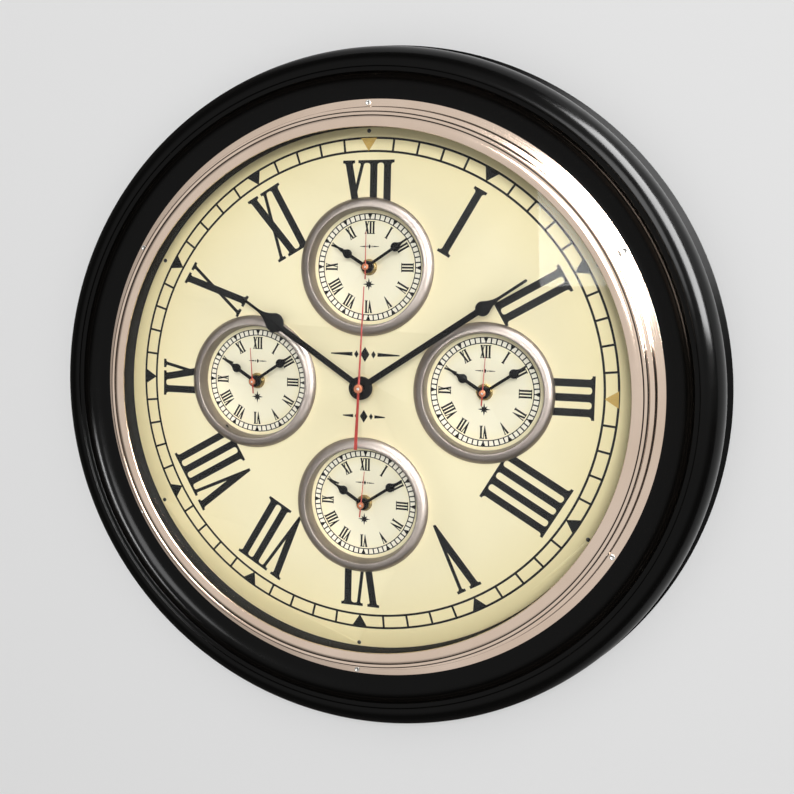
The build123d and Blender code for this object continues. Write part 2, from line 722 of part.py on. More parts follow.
def battery(zone: Zone) -> Part:
    """Round cell lying in the battery bay, with its nub towards +X."""
    depth = zone.behind(BAY_WALL + BATTERY_GAP + BATTERY_R)
    start = Plane(origin=(zone.x - BATTERY_L / 2, -depth, zone.z + BAY_CENTRE), z_dir=(1, 0, 0))
    body = extrude(start * Circle(BATTERY_R), amount=BATTERY_BODY_L)
    return body + extrude(start.offset(BATTERY_BODY_L) * Circle(BATTERY_NUB_R), amount=BATTERY_NUB_L)


def battery_contacts(zone: Zone) -> list:
    """Spring-metal contact at each end of the battery bay."""
    front = zone.behind(BAY_WALL)
    reach = (BAY_L - CONTACT_T) / 2
    strip = Rectangle(CONTACT_T, CONTACT_W)
    strips = [Pos(side * reach, BAY_CENTRE) * strip for side in (-1, 1)]
    return [zone.slab(shape, front - 2 * BATTERY_R, front) for shape in strips]


def shaft_nut(zone: Zone) -> Part:
    """Hexagon nut that holds a movement's bush to its dial."""
    back = zone.face + WASHER_T
    hexagon = RegularPolygon(NUT_FLATS / 2, 6, major_radius=False) - Circle(BUSH_R + PILOT_GAP)
    return zone.slab(hexagon, back, back + NUT_T)


def nut_washer(zone: Zone) -> Part:
    """Flat washer between the nut and the dial."""
    return zone.slab(Circle(WASHER_R) - Circle(BUSH_R + FIT_GAP), zone.face, zone.face + WASHER_T)


def involute(radius: float, base_r: float) -> float:
    """Angle between the start of an involute and its point at a radius."""
    roll = math.sqrt(max((radius / base_r) ** 2 - 1, 0))
    return roll - math.atan(roll)


def gear(teeth: int, module: float, first_angle: float) -> Sketch:
    """Spur gear outline with flat flanks, whose first tooth points along an angle in degrees."""
    pitch_r = teeth * module / 2
    base_r = pitch_r * math.cos(PRESSURE_ANGLE)
    tip_r = pitch_r + ADDENDUM * module
    root_r = pitch_r - DEDENDUM * module
    half_pitch = (math.pi * module / 2 - BACKLASH) / (2 * pitch_r) + involute(pitch_r, base_r)
    half_tip = half_pitch - involute(tip_r, base_r)
    half_root = half_pitch - involute(root_r, base_r)
    corners = [(root_r, -half_root), (tip_r, -half_tip), (tip_r, half_tip), (root_r, half_root)]
    points = []
    for tooth in range(teeth):
        middle = math.radians(first_angle) + tooth * 2 * math.pi / teeth
        points += [(r * math.cos(middle + a), r * math.sin(middle + a)) for r, a in corners]
    return make_face(Polyline(*points, close=True))


UPPER_FRONT = FRONT_WALL + GEAR_SIDE_GAP
UPPER_BACK = UPPER_FRONT + GEAR_T
LOWER_FRONT = UPPER_BACK + LAYER_GAP
LOWER_BACK = LOWER_FRONT + GEAR_T
TOWARDS_SETTING = 90.0
TOWARDS_CENTRE = -90.0


def hour_wheel(zone: Zone) -> Part:
    """Hour wheel with the tube that carries the hour hand through the bush."""
    teeth = gear(HOUR_WHEEL_TEETH, HOUR_MODULE, TOWARDS_SETTING + 180 / HOUR_WHEEL_TEETH)
    wheel = zone.slab(teeth, zone.behind(UPPER_BACK), zone.behind(UPPER_FRONT))
    tube_end = zone.face + zone.hands.hour_end
    wheel += zone.slab(Circle(HOUR_TUBE_R), zone.behind(UPPER_BACK), tube_end)
    return wheel - zone.slab(Circle(CENTRE_ARBOR_R + RUN_GAP), zone.behind(UPPER_BACK), tube_end)


def centre_arbor(zone: Zone) -> Part:
    """Hollow centre arbor with the cannon pinion, which carries the minute hand."""
    back = zone.behind(MOVEMENT_DEPTH - COVER_T + PIVOT_DEPTH - 2 * RUN_GAP)
    front = zone.face + zone.hands.minute_end
    pinion = gear(CANNON_TEETH, MINUTE_MODULE, TOWARDS_SETTING)
    arbor = zone.slab(Circle(CENTRE_ARBOR_R), back, front)
    pinion_back = zone.behind(LOWER_BACK + CANNON_EXTRA)
    arbor += zone.slab(pinion, pinion_back, zone.behind(LOWER_FRONT - CANNON_EXTRA))
    return arbor - zone.slab(Circle(SECONDS_ARBOR_R + RUN_GAP), back, front)


def collet_top(zone: Zone) -> float:
    """Depth of the front of a second hand's collet."""
    return zone.face + zone.hands.second_end


def seconds_arbor(zone: Zone) -> Part:
    """Slim arbor through the centre arbor, which carries the second hand."""
    back = zone.behind(MOVEMENT_DEPTH - FIT_GAP)
    return zone.slab(Circle(SECONDS_ARBOR_R), back, collet_top(zone) - 2 * ARBOR_PROUD)


def setting_wheel(zone: Zone) -> Part:
    """Minute wheel and pinion on the setting arbor, with the hand-setting knob behind the cover."""
    wheel = gear(MINUTE_WHEEL_TEETH, MINUTE_MODULE, TOWARDS_CENTRE + 180 / MINUTE_WHEEL_TEETH)
    pinion = gear(MINUTE_PINION_TEETH, HOUR_MODULE, TOWARDS_CENTRE)
    knob_front = MOVEMENT_DEPTH + KNOB_GAP
    layers = [
        (Circle(SETTING_PIVOT_R), FRONT_WALL - SETTING_PIVOT_L + 2 * RUN_GAP, UPPER_FRONT),
        (pinion, UPPER_FRONT, LOWER_FRONT),
        (wheel, LOWER_FRONT, LOWER_BACK),
        (Circle(SETTING_ARBOR_R), LOWER_BACK, knob_front),
        (Circle(KNOB_R), knob_front, knob_front + KNOB_T),
    ]
    place = Pos(0, CENTRE_DISTANCE)
    pieces = [
        zone.slab(place * shape, zone.behind(back), zone.behind(front))
        for shape, front, back in layers
    ]
    return pieces[0] + pieces[1:]


def spade_hand(zone: Zone, size: HandSize, lift: float, bore_r: float) -> Part:
    """Spade hand with a round hub and a collet on its arbor, lifted above the dial."""
    half_tip = size.tip_w / 2
    neck_y = size.spade_at + size.neck
    end_y = size.length - half_tip
    fillet_r = (size.neck**2 + half_tip**2 - size.spade_r**2) / (2 * (size.spade_r - half_tip))
    fillet_x = half_tip + fillet_r
    sweep = math.atan2(size.neck, fillet_x)
    side_x = size.spade_r * math.cos(sweep)
    side_y = size.spade_at + size.spade_r * math.sin(sweep)
    tip = [
        Line((-side_x, side_y), (side_x, side_y)),
        CenterArc((fillet_x, neck_y), fillet_r, 180, math.degrees(sweep)),
        Line((half_tip, neck_y), (half_tip, end_y)),
        CenterArc((0, end_y), half_tip, 0, 180),
        Line((-half_tip, end_y), (-half_tip, neck_y)),
        CenterArc((-fillet_x, neck_y), fillet_r, 0, -math.degrees(sweep)),
    ]
    shaft = Pos(0, size.spade_at / 2) * Rectangle(size.shaft_w, size.spade_at)
    spade = Pos(0, size.spade_at) * Circle(size.spade_r)
    outline = Circle(zone.hands.hub_r) + shaft + spade + make_face(tip)
    back = zone.face + lift
    front = back + zone.hands.thickness
    collet_back = back - zone.hands.thickness
    hand = zone.slab(Rot(0, 0, -size.angle) * outline, back, front)
    hand += zone.slab(Circle(bore_r + COLLET_WALL), collet_back, front)
    return hand - zone.slab(Circle(bore_r), collet_back, front)


def hour_hand(zone: Zone) -> Part:
    """Hour hand on the end of the hour tube."""
    return spade_hand(zone, zone.hands.hour, zone.hands.hour_lift, HOUR_TUBE_R + PRESS_GAP)


def minute_hand(zone: Zone) -> Part:
    """Minute hand on the end of the centre arbor."""
    return spade_hand(zone, zone.hands.minute, zone.hands.minute_lift, CENTRE_ARBOR_R + PRESS_GAP)


def second_hand(zone: Zone) -> Part:
    """Thin second hand: tapered pointer, broader tail and a round collet closed at the front."""
    size = zone.hands.second
    outline = Polyline(
        (-size.root_w / 2, 0),
        (-size.tip_w / 2, size.length),
        (size.tip_w / 2, size.length),
        (size.root_w / 2, 0),
        (size.tail_w / 2, -size.tail),
        (-size.tail_w / 2, -size.tail),
        close=True,
    )
    back = zone.face + zone.hands.second_lift
    collet_back = back - size.collet_below
    hand = zone.slab(Rot(0, 0, -size.angle) * make_face(outline), back, back + size.thickness)
    hand += zone.slab(Circle(size.collet_r), collet_back, collet_top(zone))
    bore = Circle(SECONDS_ARBOR_R + PRESS_GAP)
    return hand - zone.slab(bore, collet_back, collet_top(zone) - ARBOR_PROUD)


def save(name: str, shape) -> None:
    """Write one node, a solid or a group of separate solids."""
    solids = shape if isinstance(shape, list) else [shape]
    whole = [solid for item in solids for solid in item.solids()]
    export_step(whole[0] if len(whole) == 1 else Compound(children=whole), f"parts/{name}.step")


def main() -> None:
    """Build every node of the clock."""
    os.makedirs("parts", exist_ok=True)
    save("case_ring", case_ring())
    save("bezel", bezel())
    save("bezel_screws", bezel_screws())
    save("front_glass", front_glass())
    save("dial_plate", dial_plate())
    save("dial_board", dial_board())
    save("dial_pins", dial_pins())
    save("board_screws", board_screws())
    save("hanger_plate", hanger_plate())
    save("hanger_screws", hanger_screws())
    save("sub_dial_screws", sub_dial_screws())
    save("movement_cases", [movement_case(zone) for zone in ZONES])
    save("movement_covers", [movement_cover(zone) for zone in ZONES])
    save("batteries", [battery(zone) for zone in ZONES])
    save("battery_contacts", [contact for zone in ZONES for contact in battery_contacts(zone)])
    save("shaft_nuts", [shaft_nut(zone) for zone in ZONES])
    save("nut_washers", [nut_washer(zone) for zone in ZONES])
    for zone in SUBS:
        save(f"sub_bezel_{zone.name}", sub_bezel(zone))
        save(f"sub_dial_{zone.name}", sub_dial(zone))
    for zone in ZONES:
        save(f"hour_wheel_{zone.name}", hour_wheel(zone))
        save(f"centre_arbor_{zone.name}", centre_arbor(zone))
        save(f"seconds_arbor_{zone.name}", seconds_arbor(zone))
        save(f"setting_wheel_{zone.name}", setting_wheel(zone))
        save(f"hour_hand_{zone.name}", hour_hand(zone))
        save(f"minute_hand_{zone.name}", minute_hand(zone))
        save(f"second_hand_{zone.name}", second_hand(zone))


main()
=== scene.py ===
"""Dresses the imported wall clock: turned case, spun bezel, printed dials, painted hands and rear works.

Meshes are drawn in millimetres in the frame of the CAD model and turned to metres when a piece is made:
+Z is towards 12 o'clock, +X towards 3 o'clock and the front faces -Y. Depth is the distance in front of
the wall, so a point at depth d has y = -d. A centre is the x and z of an arbor.
"""

import logging
import math
from dataclasses import dataclass, replace
from enum import Enum

import bmesh
import bpy
from mathutils import Matrix, Vector


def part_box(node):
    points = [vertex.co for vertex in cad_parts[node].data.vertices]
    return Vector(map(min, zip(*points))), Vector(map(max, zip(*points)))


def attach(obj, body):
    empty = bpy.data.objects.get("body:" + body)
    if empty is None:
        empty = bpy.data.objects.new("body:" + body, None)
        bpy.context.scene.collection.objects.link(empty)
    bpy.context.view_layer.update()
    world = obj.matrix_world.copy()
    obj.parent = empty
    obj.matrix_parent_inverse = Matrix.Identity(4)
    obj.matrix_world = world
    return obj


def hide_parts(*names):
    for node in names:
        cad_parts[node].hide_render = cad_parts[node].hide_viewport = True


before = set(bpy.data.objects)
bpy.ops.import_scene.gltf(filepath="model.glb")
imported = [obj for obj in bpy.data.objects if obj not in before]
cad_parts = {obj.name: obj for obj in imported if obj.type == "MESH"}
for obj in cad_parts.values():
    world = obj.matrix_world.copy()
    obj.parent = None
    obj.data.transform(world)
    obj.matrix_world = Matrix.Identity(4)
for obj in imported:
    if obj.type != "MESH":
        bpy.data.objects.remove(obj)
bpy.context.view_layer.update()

LOG = logging.getLogger("clock")
MADE: list[bpy.types.Object] = []
MM = 0.001
MERGE_DIST = 0.0005
FLAT_ANGLE = math.radians(0.6)
SHARP_ANGLE = math.radians(32.0)
QUAD = 4
ROUND = 0.5
AXIS = Vector((0.0, 1.0, 0.0))
WHITE = (1.0, 1.0, 1.0, 1.0)

Colour = tuple[float, float, float]
Place = tuple[float, float, float]
Point = tuple[float, float]
Mesh = bmesh.types.BMesh
Socket = bpy.types.NodeSocket
Term = Socket | float | tuple[float, ...]
Inputs = dict[str | int, Term]


class Slot(Enum):
    """Material slots of the record."""

    LACQUER = "black_lacquer"
    NICKEL = "nickel_brass"
    SATIN = "satin_steel"
    GLASS = "clear_glass"
    DIAL = "cream_dial"
    BOARD = "fibre_board"
    PIN = "black_steel"
    SCREW = "screw_steel"
    HOUSING = "black_plastic"
    GEAR = "gear_plastic"
    CELL = "battery_sleeve"
    CONTACT = "contact_metal"
    BRASS = "nut_brass"
    HAND = "black_hand"
    SECOND = "red_hand"


class Zone(Enum):
    """The five dials, named as in their nodes and bodies."""

    MAIN = "main"
    TOP = "top"
    RIGHT = "right"
    BOTTOM = "bottom"
    LEFT = "left"


SMALL_ZONES = [zone for zone in Zone if zone is not Zone.MAIN]


@dataclass(frozen=True)
class Extent:
    """Box of one CAD node in millimetres."""

    low: Vector
    high: Vector

    @classmethod
    def of(cls, node: str) -> "Extent":
        """Read a node's box from the frame."""
        low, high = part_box(node)
        return cls(low / MM, high / MM)

    @property
    def centre(self) -> Point:
        """Middle of the box, as x and z."""
        middle = (self.low + self.high) / 2
        return middle.x, middle.z

    @property
    def radius(self) -> float:
        """Half of the box's width."""
        return (self.high.x - self.low.x) / 2

    @property
    def front(self) -> float:
        """Depth of the front of the box."""
        return -self.low.y

    @property
    def back(self) -> float:
        """Depth of the back of the box."""
        return -self.high.y


class Wiring:
    """Adds and joins the nodes of one node tree."""

    def __init__(self, tree: bpy.types.NodeTree) -> None:
        """Start on a tree."""
        self.tree = tree

    def feed(self, target: Socket, term: Term) -> None:
        """Join an output to an input, or write a value into the input.

        Args:
            target: The input.
            term: The output or the value.
        """
        if isinstance(term, Socket):
            self.tree.links.new(term, target)
        else:
            target.default_value = term

    def add(self, kind: str, inputs: Inputs | None = None, **settings: str) -> bpy.types.Node:
        """Add a node.

        Args:
            kind: Class name of the node.
            inputs: What goes into its sockets, by name or number.
            settings: Its own properties.

        Returns:
            The new node.
        """
        node = self.tree.nodes.new(kind)
        for key, value in settings.items():
            setattr(node, key, value)
        for key, term in (inputs or {}).items():
            self.feed(node.inputs[key], term)
        return node

    def calc(self, operation: str, *terms: Term) -> Socket:
        """Result of a Math node on its terms."""
        return self.add("ShaderNodeMath", dict(enumerate(terms)), operation=operation).outputs["Value"]

    def vector(self, operation: str, out: str, *terms: Term) -> Socket:
        """Named output of a Vector Math node on its terms."""
        return self.add("ShaderNodeVectorMath", dict(enumerate(terms)), operation=operation).outputs[out]

    def ramp(
        self, factor: Socket, low: float, high: float, at: Point = (0.3, 0.7), shape: str = "LINEAR"
    ) -> Socket:
        """Spread a factor over a range of values.

        Args:
            factor: The factor to spread.
            low: Value at the lower end.
            high: Value at the upper end.
            at: Factors that give the two ends.
            shape: How the value runs between the ends.

        Returns:
            The spread value.
        """
        inputs = {"Value": factor, "From Min": at[0], "From Max": at[1], "To Min": low, "To Max": high}
        return self.add("ShaderNodeMapRange", inputs, interpolation_type=shape).outputs["Result"]


class Bench(Wiring):
    """Wires one material around its Principled shader."""

    def __init__(self, name: str) -> None:
        """Start a material with a Principled shader and Object coordinates."""
        self.material = bpy.data.materials.new(name)
        self.material.use_nodes = True
        super().__init__(self.material.node_tree)
        self.shader = self.tree.nodes["Principled BSDF"]
        self.coords = self.add("ShaderNodeTexCoord").outputs["Object"]

    def put(self, **terms: Term) -> None:
        """Feed the shader, by socket name with spaces as underscores."""
        for key, term in terms.items():
            self.feed(self.shader.inputs[key.replace("_", " ")], term)

    def noise(self, scale: float, detail: float = 3.0, stretch: Place = (1.0, 1.0, 1.0)) -> Socket:
        """Noise over the object's own space.

        Args:
            scale: Features per metre.
            detail: Octaves of finer noise.
            stretch: Scale along each axis.

        Returns:
            The noise factor.
        """
        space = self.add("ShaderNodeMapping", {"Vector": self.coords, "Scale": stretch}).outputs["Vector"]
        inputs = {"Vector": space, "Scale": scale, "Detail": detail}
        return self.add("ShaderNodeTexNoise", inputs).outputs["Fac"]

    def radius(self, centre: Point) -> Socket:
        """Distance from an arbor in the plane of the dial.

        Args:
            centre: The arbor's x and z in metres.

        Returns:
            The distance in metres.
        """
        back = (-centre[0], 0.0, -centre[1])
        inputs = {"Vector": self.coords, "Location": back, "Scale": (1.0, 0.0, 1.0)}
        return self.vector("LENGTH", "Value", self.add("ShaderNodeMapping", inputs).outputs["Vector"])

    def around(self, centre: Point) -> Socket:
        """Direction around an arbor, along which a turned piece is brushed."""
        spoke = self.vector("SUBTRACT", "Vector", self.coords, (centre[0], 0.0, centre[1]))
        return self.vector("CROSS_PRODUCT", "Vector", spoke, tuple(AXIS))

    def rings(self, centre: Point, scale: float, detail: float = 2.0) -> Socket:
        """Noise that changes only with the distance from an arbor, as lathe marks do."""
        inputs = {"W": self.radius(centre), "Scale": scale, "Detail": detail}
        return self.add("ShaderNodeTexNoise", inputs, noise_dimensions="1D").outputs["Fac"]

    def blend(self, factor: Socket, low: Colour | Socket, high: Colour) -> Socket:
        """Mix two colours by a factor from 0 to 1.

        Args:
            factor: The mixing factor.
            low: Colour at 0, written or wired.
            high: Colour at 1.

        Returns:
            The mixed colour.
        """
        start = low if isinstance(low, Socket) else (*low, 1.0)
        inputs = {"Factor": factor, "A": start, "B": (*high, 1.0)}
        return self.add("ShaderNodeMix", inputs, data_type="RGBA").outputs["Result"]

    def patches(self, scale: float, one: Colour, two: Colour, detail: float = 4.0) -> Socket:
        """Two colours in cloudy patches."""
        return self.blend(self.ramp(self.noise(scale, detail), 0.0, 1.0), one, two)

    def grain(self, scale: float, depth: float, share: float, detail: float = 1.0) -> None:
        """Roughen the surface by noise of a depth, of which a share shows."""
        self.bump(self.noise(scale, detail), depth, share)

    def bump(self, height: Socket, distance: float, strength: float) -> None:
        """Drive the shader's normal by a height, given its metres at 1 and the share that shows."""
        inputs = {"Height": height, "Distance": distance, "Strength": strength}
        self.put(Normal=self.add("ShaderNodeBump", inputs).outputs["Normal"])

    def see_through(self, one: Socket, two: Socket) -> None:
        """Let rays pass straight through where one of two factors is 1.

        Args:
            one: First factor.
            two: Second factor.
        """
        clear = self.add("ShaderNodeBsdfTransparent").outputs["BSDF"]
        inputs = {0: self.calc("MAXIMUM", one, two), 1: self.shader.outputs["BSDF"], 2: clear}
        mixed = self.add("ShaderNodeMixShader", inputs).outputs["Shader"]
        self.feed(self.tree.nodes["Material Output"].inputs["Surface"], mixed)


class Finish:
    """A material that is wired once and shared by every piece that wears it."""

    made: dict[str, bpy.types.Material] = {}

    def material(self) -> bpy.types.Material:
        """Give this finish's material, wired on the first call."""
        if self.name not in Finish.made:
            bench = Bench(self.name)
            self.wire(bench)
            Finish.made[self.name] = bench.material
        return Finish.made[self.name]


@dataclass(frozen=True)
class Lacquer(Finish):
    """Deep black gloss with the faint waviness of sprayed lacquer."""

    name: str = "black_gloss_lacquer"
    colour: Colour = (0.0018, 0.0017, 0.0016)
    haze: Colour = (0.0028, 0.0027, 0.0025)
    haze_scale: float = 14.0
    gloss: Point = (0.15, 0.2)
    gloss_scale: float = 40.0
    sheen: float = 0.12
    wave_scale: float = 170.0
    wave_depth: float = 0.00002
    wave_share: float = 0.3

    def wire(self, bench: Bench) -> None:
        """Wire the lacquer."""
        bench.put(
            Base_Color=bench.blend(bench.noise(self.haze_scale), self.colour, self.haze),
            Roughness=bench.ramp(bench.noise(self.gloss_scale), *self.gloss),
            Specular_IOR_Level=self.sheen,
        )
        bench.grain(self.wave_scale, self.wave_depth, self.wave_share)


@dataclass(frozen=True)
class TurnedMetal(Finish):
    """Metal with fine rings about an arbor; each crease is a radius and a half width of painted shade."""

    name: str
    colour: Colour
    tarnish: Colour
    gloss: Point
    ring_scale: float
    ring_depth: float
    ring_share: float = 0.5
    centre: Point = (0.0, 0.0)
    brushed: float = 0.0
    stain_scale: float = 22.0
    creases: tuple[Point, ...] = ()
    # Colour of the painted shade along each crease, and the share of the half width that is fully dark.
    crease_shade: Colour = (0.02, 0.014, 0.01)
    crease_shade_core: float = 0.6

    def wire(self, bench: Bench) -> None:
        """Wire the metal."""
        rings = bench.rings(self.centre, self.ring_scale)
        paint = bench.patches(self.stain_scale, self.colour, self.tarnish)
        # Darken the metal along each crease: painted shade in the groove.
        for reach, half in self.creases:
            away = bench.calc("ABSOLUTE", bench.calc("SUBTRACT", bench.radius(self.centre), reach))
            shaded = bench.ramp(away, 1.0, 0.0, (half * self.crease_shade_core, half))
            paint = bench.blend(shaded, paint, self.crease_shade)
        bench.put(
            Base_Color=paint,
            Metallic=1.0,
            Roughness=bench.ramp(rings, *self.gloss),
            Anisotropic=self.brushed,
            Tangent=bench.around(self.centre),
        )
        bench.bump(rings, self.ring_depth, self.ring_share)


@dataclass(frozen=True)
class DialPaper(Finish):
    """Cream printed sheet, painted darker and yellower towards its edge: painted shade under the rim."""

    name: str
    colour: Colour
    # Painted shade at the sheet's edge, and the radii over which it comes in.
    rim_shade_colour: Colour
    rim_shade_fade: Point
    centre: Point = (0.0, 0.0)
    drift: float = 0.02
    drift_scale: float = 9.0
    gloss: Point = (0.45, 0.6)
    gloss_scale: float = 400.0
    sheen: float = 0.35
    fibre_scale: float = 1500.0
    fibre_depth: float = 0.00001
    fibre_share: float = 0.3

    def wire(self, bench: Bench) -> None:
        """Wire the sheet."""
        radius = bench.radius(self.centre)
        uneven = bench.calc("MULTIPLY_ADD", bench.noise(self.drift_scale), self.drift, radius)
        # Painted shade: the colour darkens towards the edge of the sheet.
        edge = bench.ramp(uneven, 0.0, 1.0, self.rim_shade_fade)
        bench.put(
            Base_Color=bench.blend(edge, self.colour, self.rim_shade_colour),
            Roughness=bench.ramp(bench.noise(self.gloss_scale), *self.gloss),
            Specular_IOR_Level=self.sheen,
        )
        bench.grain(self.fibre_scale, self.fibre_depth, self.fibre_share, detail=2.0)


@dataclass(frozen=True)
class Coating(Finish):
    """Ink, paint, moulded plastic or plain metal: two near shades, a gloss range and a fine grain."""

    name: str
    colour: Colour
    shade: Colour
    gloss: Point
    grain: float = 1200.0
    grain_depth: float = 0.00001
    grain_share: float = 0.5
    patch_share: float = 0.125
    sheen: float = 0.5
    metallic: float = 0.0

    def wire(self, bench: Bench) -> None:
        """Wire the coating."""
        bench.put(
            Base_Color=bench.patches(self.grain * self.patch_share, self.colour, self.shade),
            Metallic=self.metallic,
            Roughness=bench.ramp(bench.noise(self.grain), *self.gloss),
            Specular_IOR_Level=self.sheen,
        )
        bench.grain(self.grain, self.grain_depth, self.grain_share)


@dataclass(frozen=True)
class PlainMetal(Coating):
    """Plated or drawn metal with a fine uneven grain."""

    grain: float = 900.0
    grain_depth: float = 0.00002
    grain_share: float = 0.4
    patch_share: float = 120.0 / 900.0
    metallic: float = 1.0


@dataclass(frozen=True)
class FibreBoard(Finish):
    """Pressed board: pale and dark fibres in a brown ground."""

    name: str = "pressed_fibre_board"
    ground: Colour = (0.27, 0.17, 0.095)
    fibre: Colour = (0.46, 0.33, 0.20)
    fibre_scale: float = 700.0
    fibre_detail: float = 6.0
    fibre_depth: float = 0.0001
    fibre_share: float = 0.5
    stretch: Place = (0.35, 1.0, 1.0)
    gloss: Point = (0.75, 0.95)

    def wire(self, bench: Bench) -> None:
        """Wire the board."""
        strands = bench.ramp(bench.noise(self.fibre_scale, self.fibre_detail, self.stretch), 0.0, 1.0)
        bench.put(
            Base_Color=bench.blend(strands, self.ground, self.fibre),
            Roughness=bench.ramp(strands, *self.gloss),
        )
        bench.bump(strands, self.fibre_depth, self.fibre_share)


@dataclass(frozen=True)
class ClearGlass(Finish):
    """Clear glass that lets the lamps through to the dial."""

    name: str = "clear_domed_glass"
    tint: Colour = (0.985, 0.995, 0.99)
    ior: float = 1.2
    gloss: Point = (0.0, 0.012)
    gloss_scale: float = 30.0

    def wire(self, bench: Bench) -> None:
        """Wire the glass."""
        bench.put(
            Base_Color=(*self.tint, 1.0),
            Transmission_Weight=1.0,
            IOR=self.ior,
            Roughness=bench.ramp(bench.noise(self.gloss_scale), *self.gloss),
        )
        path = bench.add("ShaderNodeLightPath").outputs
        bench.see_through(path["Is Shadow Ray"], path["Is Diffuse Ray"])


@dataclass(frozen=True)
class WallPaint(Finish):
    """Pale wall seen from the front only, so that the back of the clock shows from behind.

    Its lower left is painted dark for glossy rays only, a painted reflection such as a black card would
    make.
    """

    name: str = "pale_wall_paint"
    colour: Colour = (0.765, 0.765, 0.765)
    roughness: float = 0.9
    sheen: float = 0.1
    painted_reflection: Colour = (0.05, 0.047, 0.045)
    painted_reflection_side: Place = (0.9, 0.0, 0.45)
    painted_reflection_edge: Point = (0.0, 0.16)

    def wire(self, bench: Bench) -> None:
        """Wire the wall."""
        path = bench.add("ShaderNodeLightPath").outputs
        side = bench.add("ShaderNodeNewGeometry").outputs
        # Painted reflection: the lower left of the wall turns dark where glossy surfaces see it.
        across = bench.vector("DOT_PRODUCT", "Value", bench.coords, self.painted_reflection_side)
        dark = bench.ramp(across, 1.0, 0.0, self.painted_reflection_edge)
        mirrored = bench.calc("MULTIPLY", dark, path["Is Glossy Ray"])
        bench.put(
            Base_Color=bench.blend(mirrored, self.colour, self.painted_reflection),
            Roughness=self.roughness,
            Specular_IOR_Level=self.sheen,
        )
        bench.see_through(path["Is Shadow Ray"], side["Backfacing"])


LACQUER = Lacquer()
GLASS = ClearGlass()
BOARD = FibreBoard()
NICKEL = TurnedMetal(
    name="warm_nickel_plate",
    colour=(0.95, 0.76, 0.62),
    tarnish=(0.86, 0.67, 0.53),
    gloss=(0.09, 0.15),
    ring_scale=1400.0,
    ring_depth=0.000004,
)
SATIN = TurnedMetal(
    name="brushed_ring",
    colour=(0.24, 0.207, 0.185),
    tarnish=(0.17, 0.145, 0.13),
    gloss=(0.32, 0.44),
    ring_scale=2600.0,
    ring_depth=0.000006,
    brushed=0.55,
)
# The second colour of each paper is painted shade at its edge.
MAIN_PAPER = DialPaper("main_dial_paper", (0.88, 0.79, 0.51), (0.86, 0.745, 0.415), (0.135, 0.180))
SMALL_PAPER = DialPaper("small_dial_paper", (0.87, 0.82, 0.62), (0.84, 0.765, 0.505), (0.036, 0.045))
ZINC = PlainMetal("zinc_plated_steel", (0.66, 0.65, 0.62), (0.52, 0.51, 0.48), (0.25, 0.42))
SPRING = PlainMetal("nickel_spring_steel", (0.72, 0.71, 0.67), (0.60, 0.58, 0.54), (0.18, 0.3))
BRASS = PlainMetal("turned_brass", (0.34, 0.25, 0.10), (0.22, 0.155, 0.06), (0.24, 0.38))
COPPER = PlainMetal("copper_collet", (0.50, 0.19, 0.10), (0.42, 0.15, 0.075), (0.26, 0.38))
BAND = PlainMetal("copper_cell_band", (0.70, 0.38, 0.18), (0.60, 0.30, 0.13), (0.2, 0.32))
INK = Coating("black_dial_ink", (0.004, 0.004, 0.004), (0.007, 0.007, 0.007), (0.4, 0.55), sheen=0.1)
GOLD_INK = Coating("gold_dial_ink", (0.56, 0.36, 0.07), (0.46, 0.28, 0.05), (0.3, 0.45))
WHITE_INK = Coating("white_dial_ink", (0.88, 0.85, 0.72), (0.84, 0.80, 0.66), (0.45, 0.6))
BLACK_PAINT = Coating("hand_paint", (0.003, 0.003, 0.003), (0.005, 0.005, 0.005), (0.3, 0.4), sheen=0.08)
RED_PAINT = Coating("red_hand_paint", (0.52, 0.035, 0.02), (0.42, 0.028, 0.016), (0.3, 0.42))
WALL_BLACK = replace(BLACK_PAINT, name="black_inner_paint", gloss=(0.55, 0.7), grain_depth=0.0)
BLACK_PIN = Coating("black_pin_paint", (0.012, 0.012, 0.012), (0.02, 0.02, 0.02), (0.25, 0.4))
HOUSING = Coating(
    name="black_moulded_housing",
    colour=(0.018, 0.018, 0.019),
    shade=(0.03, 0.03, 0.031),
    gloss=(0.45, 0.62),
    grain=1600.0,
    grain_depth=0.00004,
)
GEAR = Coating("natural_moulded_gear", (0.78, 0.76, 0.68), (0.70, 0.68, 0.60), (0.35, 0.5))
SLEEVE = Coating("dark_cell_sleeve", (0.02, 0.026, 0.04), (0.03, 0.036, 0.052), (0.2, 0.3))
PALE_FLOOR = Coating("pale_floor_paint", (0.74, 0.74, 0.73), (0.70, 0.70, 0.69), (0.6, 0.75), 60.0)


def of_kind(items: list, kind: type) -> list:
    """Pick the elements of one kind from what an operator made."""
    return [item for item in items if isinstance(item, kind)]


def round_off(bm: Mesh, geom: list, offset: float, segments: int, affect: str) -> None:
    """Bevel corners or edges to a round.

    Args:
        bm: Mesh that holds them.
        geom: The corners or edges.
        offset: Length that each rounding takes from its sides.
        segments: Steps across each rounding.
        affect: VERTICES or EDGES.
    """
    bmesh.ops.bevel(
        bm,
        geom=geom,
        offset=offset,
        offset_type="OFFSET",
        segments=segments,
        profile=ROUND,
        affect=affect,
        clamp_overlap=True,
        material=-1,
    )


def tint_within(bm: Mesh, radius: float, centre: Point = (0.0, 0.0)) -> None:
    """Give the second material to the faces that lie within a radius of an arbor.

    Args:
        bm: The mesh.
        radius: The radius.
        centre: The arbor's x and z.
    """
    for face in bm.faces:
        reach = max(math.hypot(vert.co.x - centre[0], vert.co.z - centre[1]) for vert in face.verts)
        face.material_index = int(reach < radius)


def stamp(source: Mesh, target: Mesh) -> None:
    """Copy all of one mesh into another.

    Args:
        source: The mesh to copy, which is freed.
        target: The mesh that takes the copy.
    """
    keep = bpy.data.meshes.new("stamp")
    source.to_mesh(keep)
    source.free()
    target.from_mesh(keep)
    bpy.data.meshes.remove(keep)


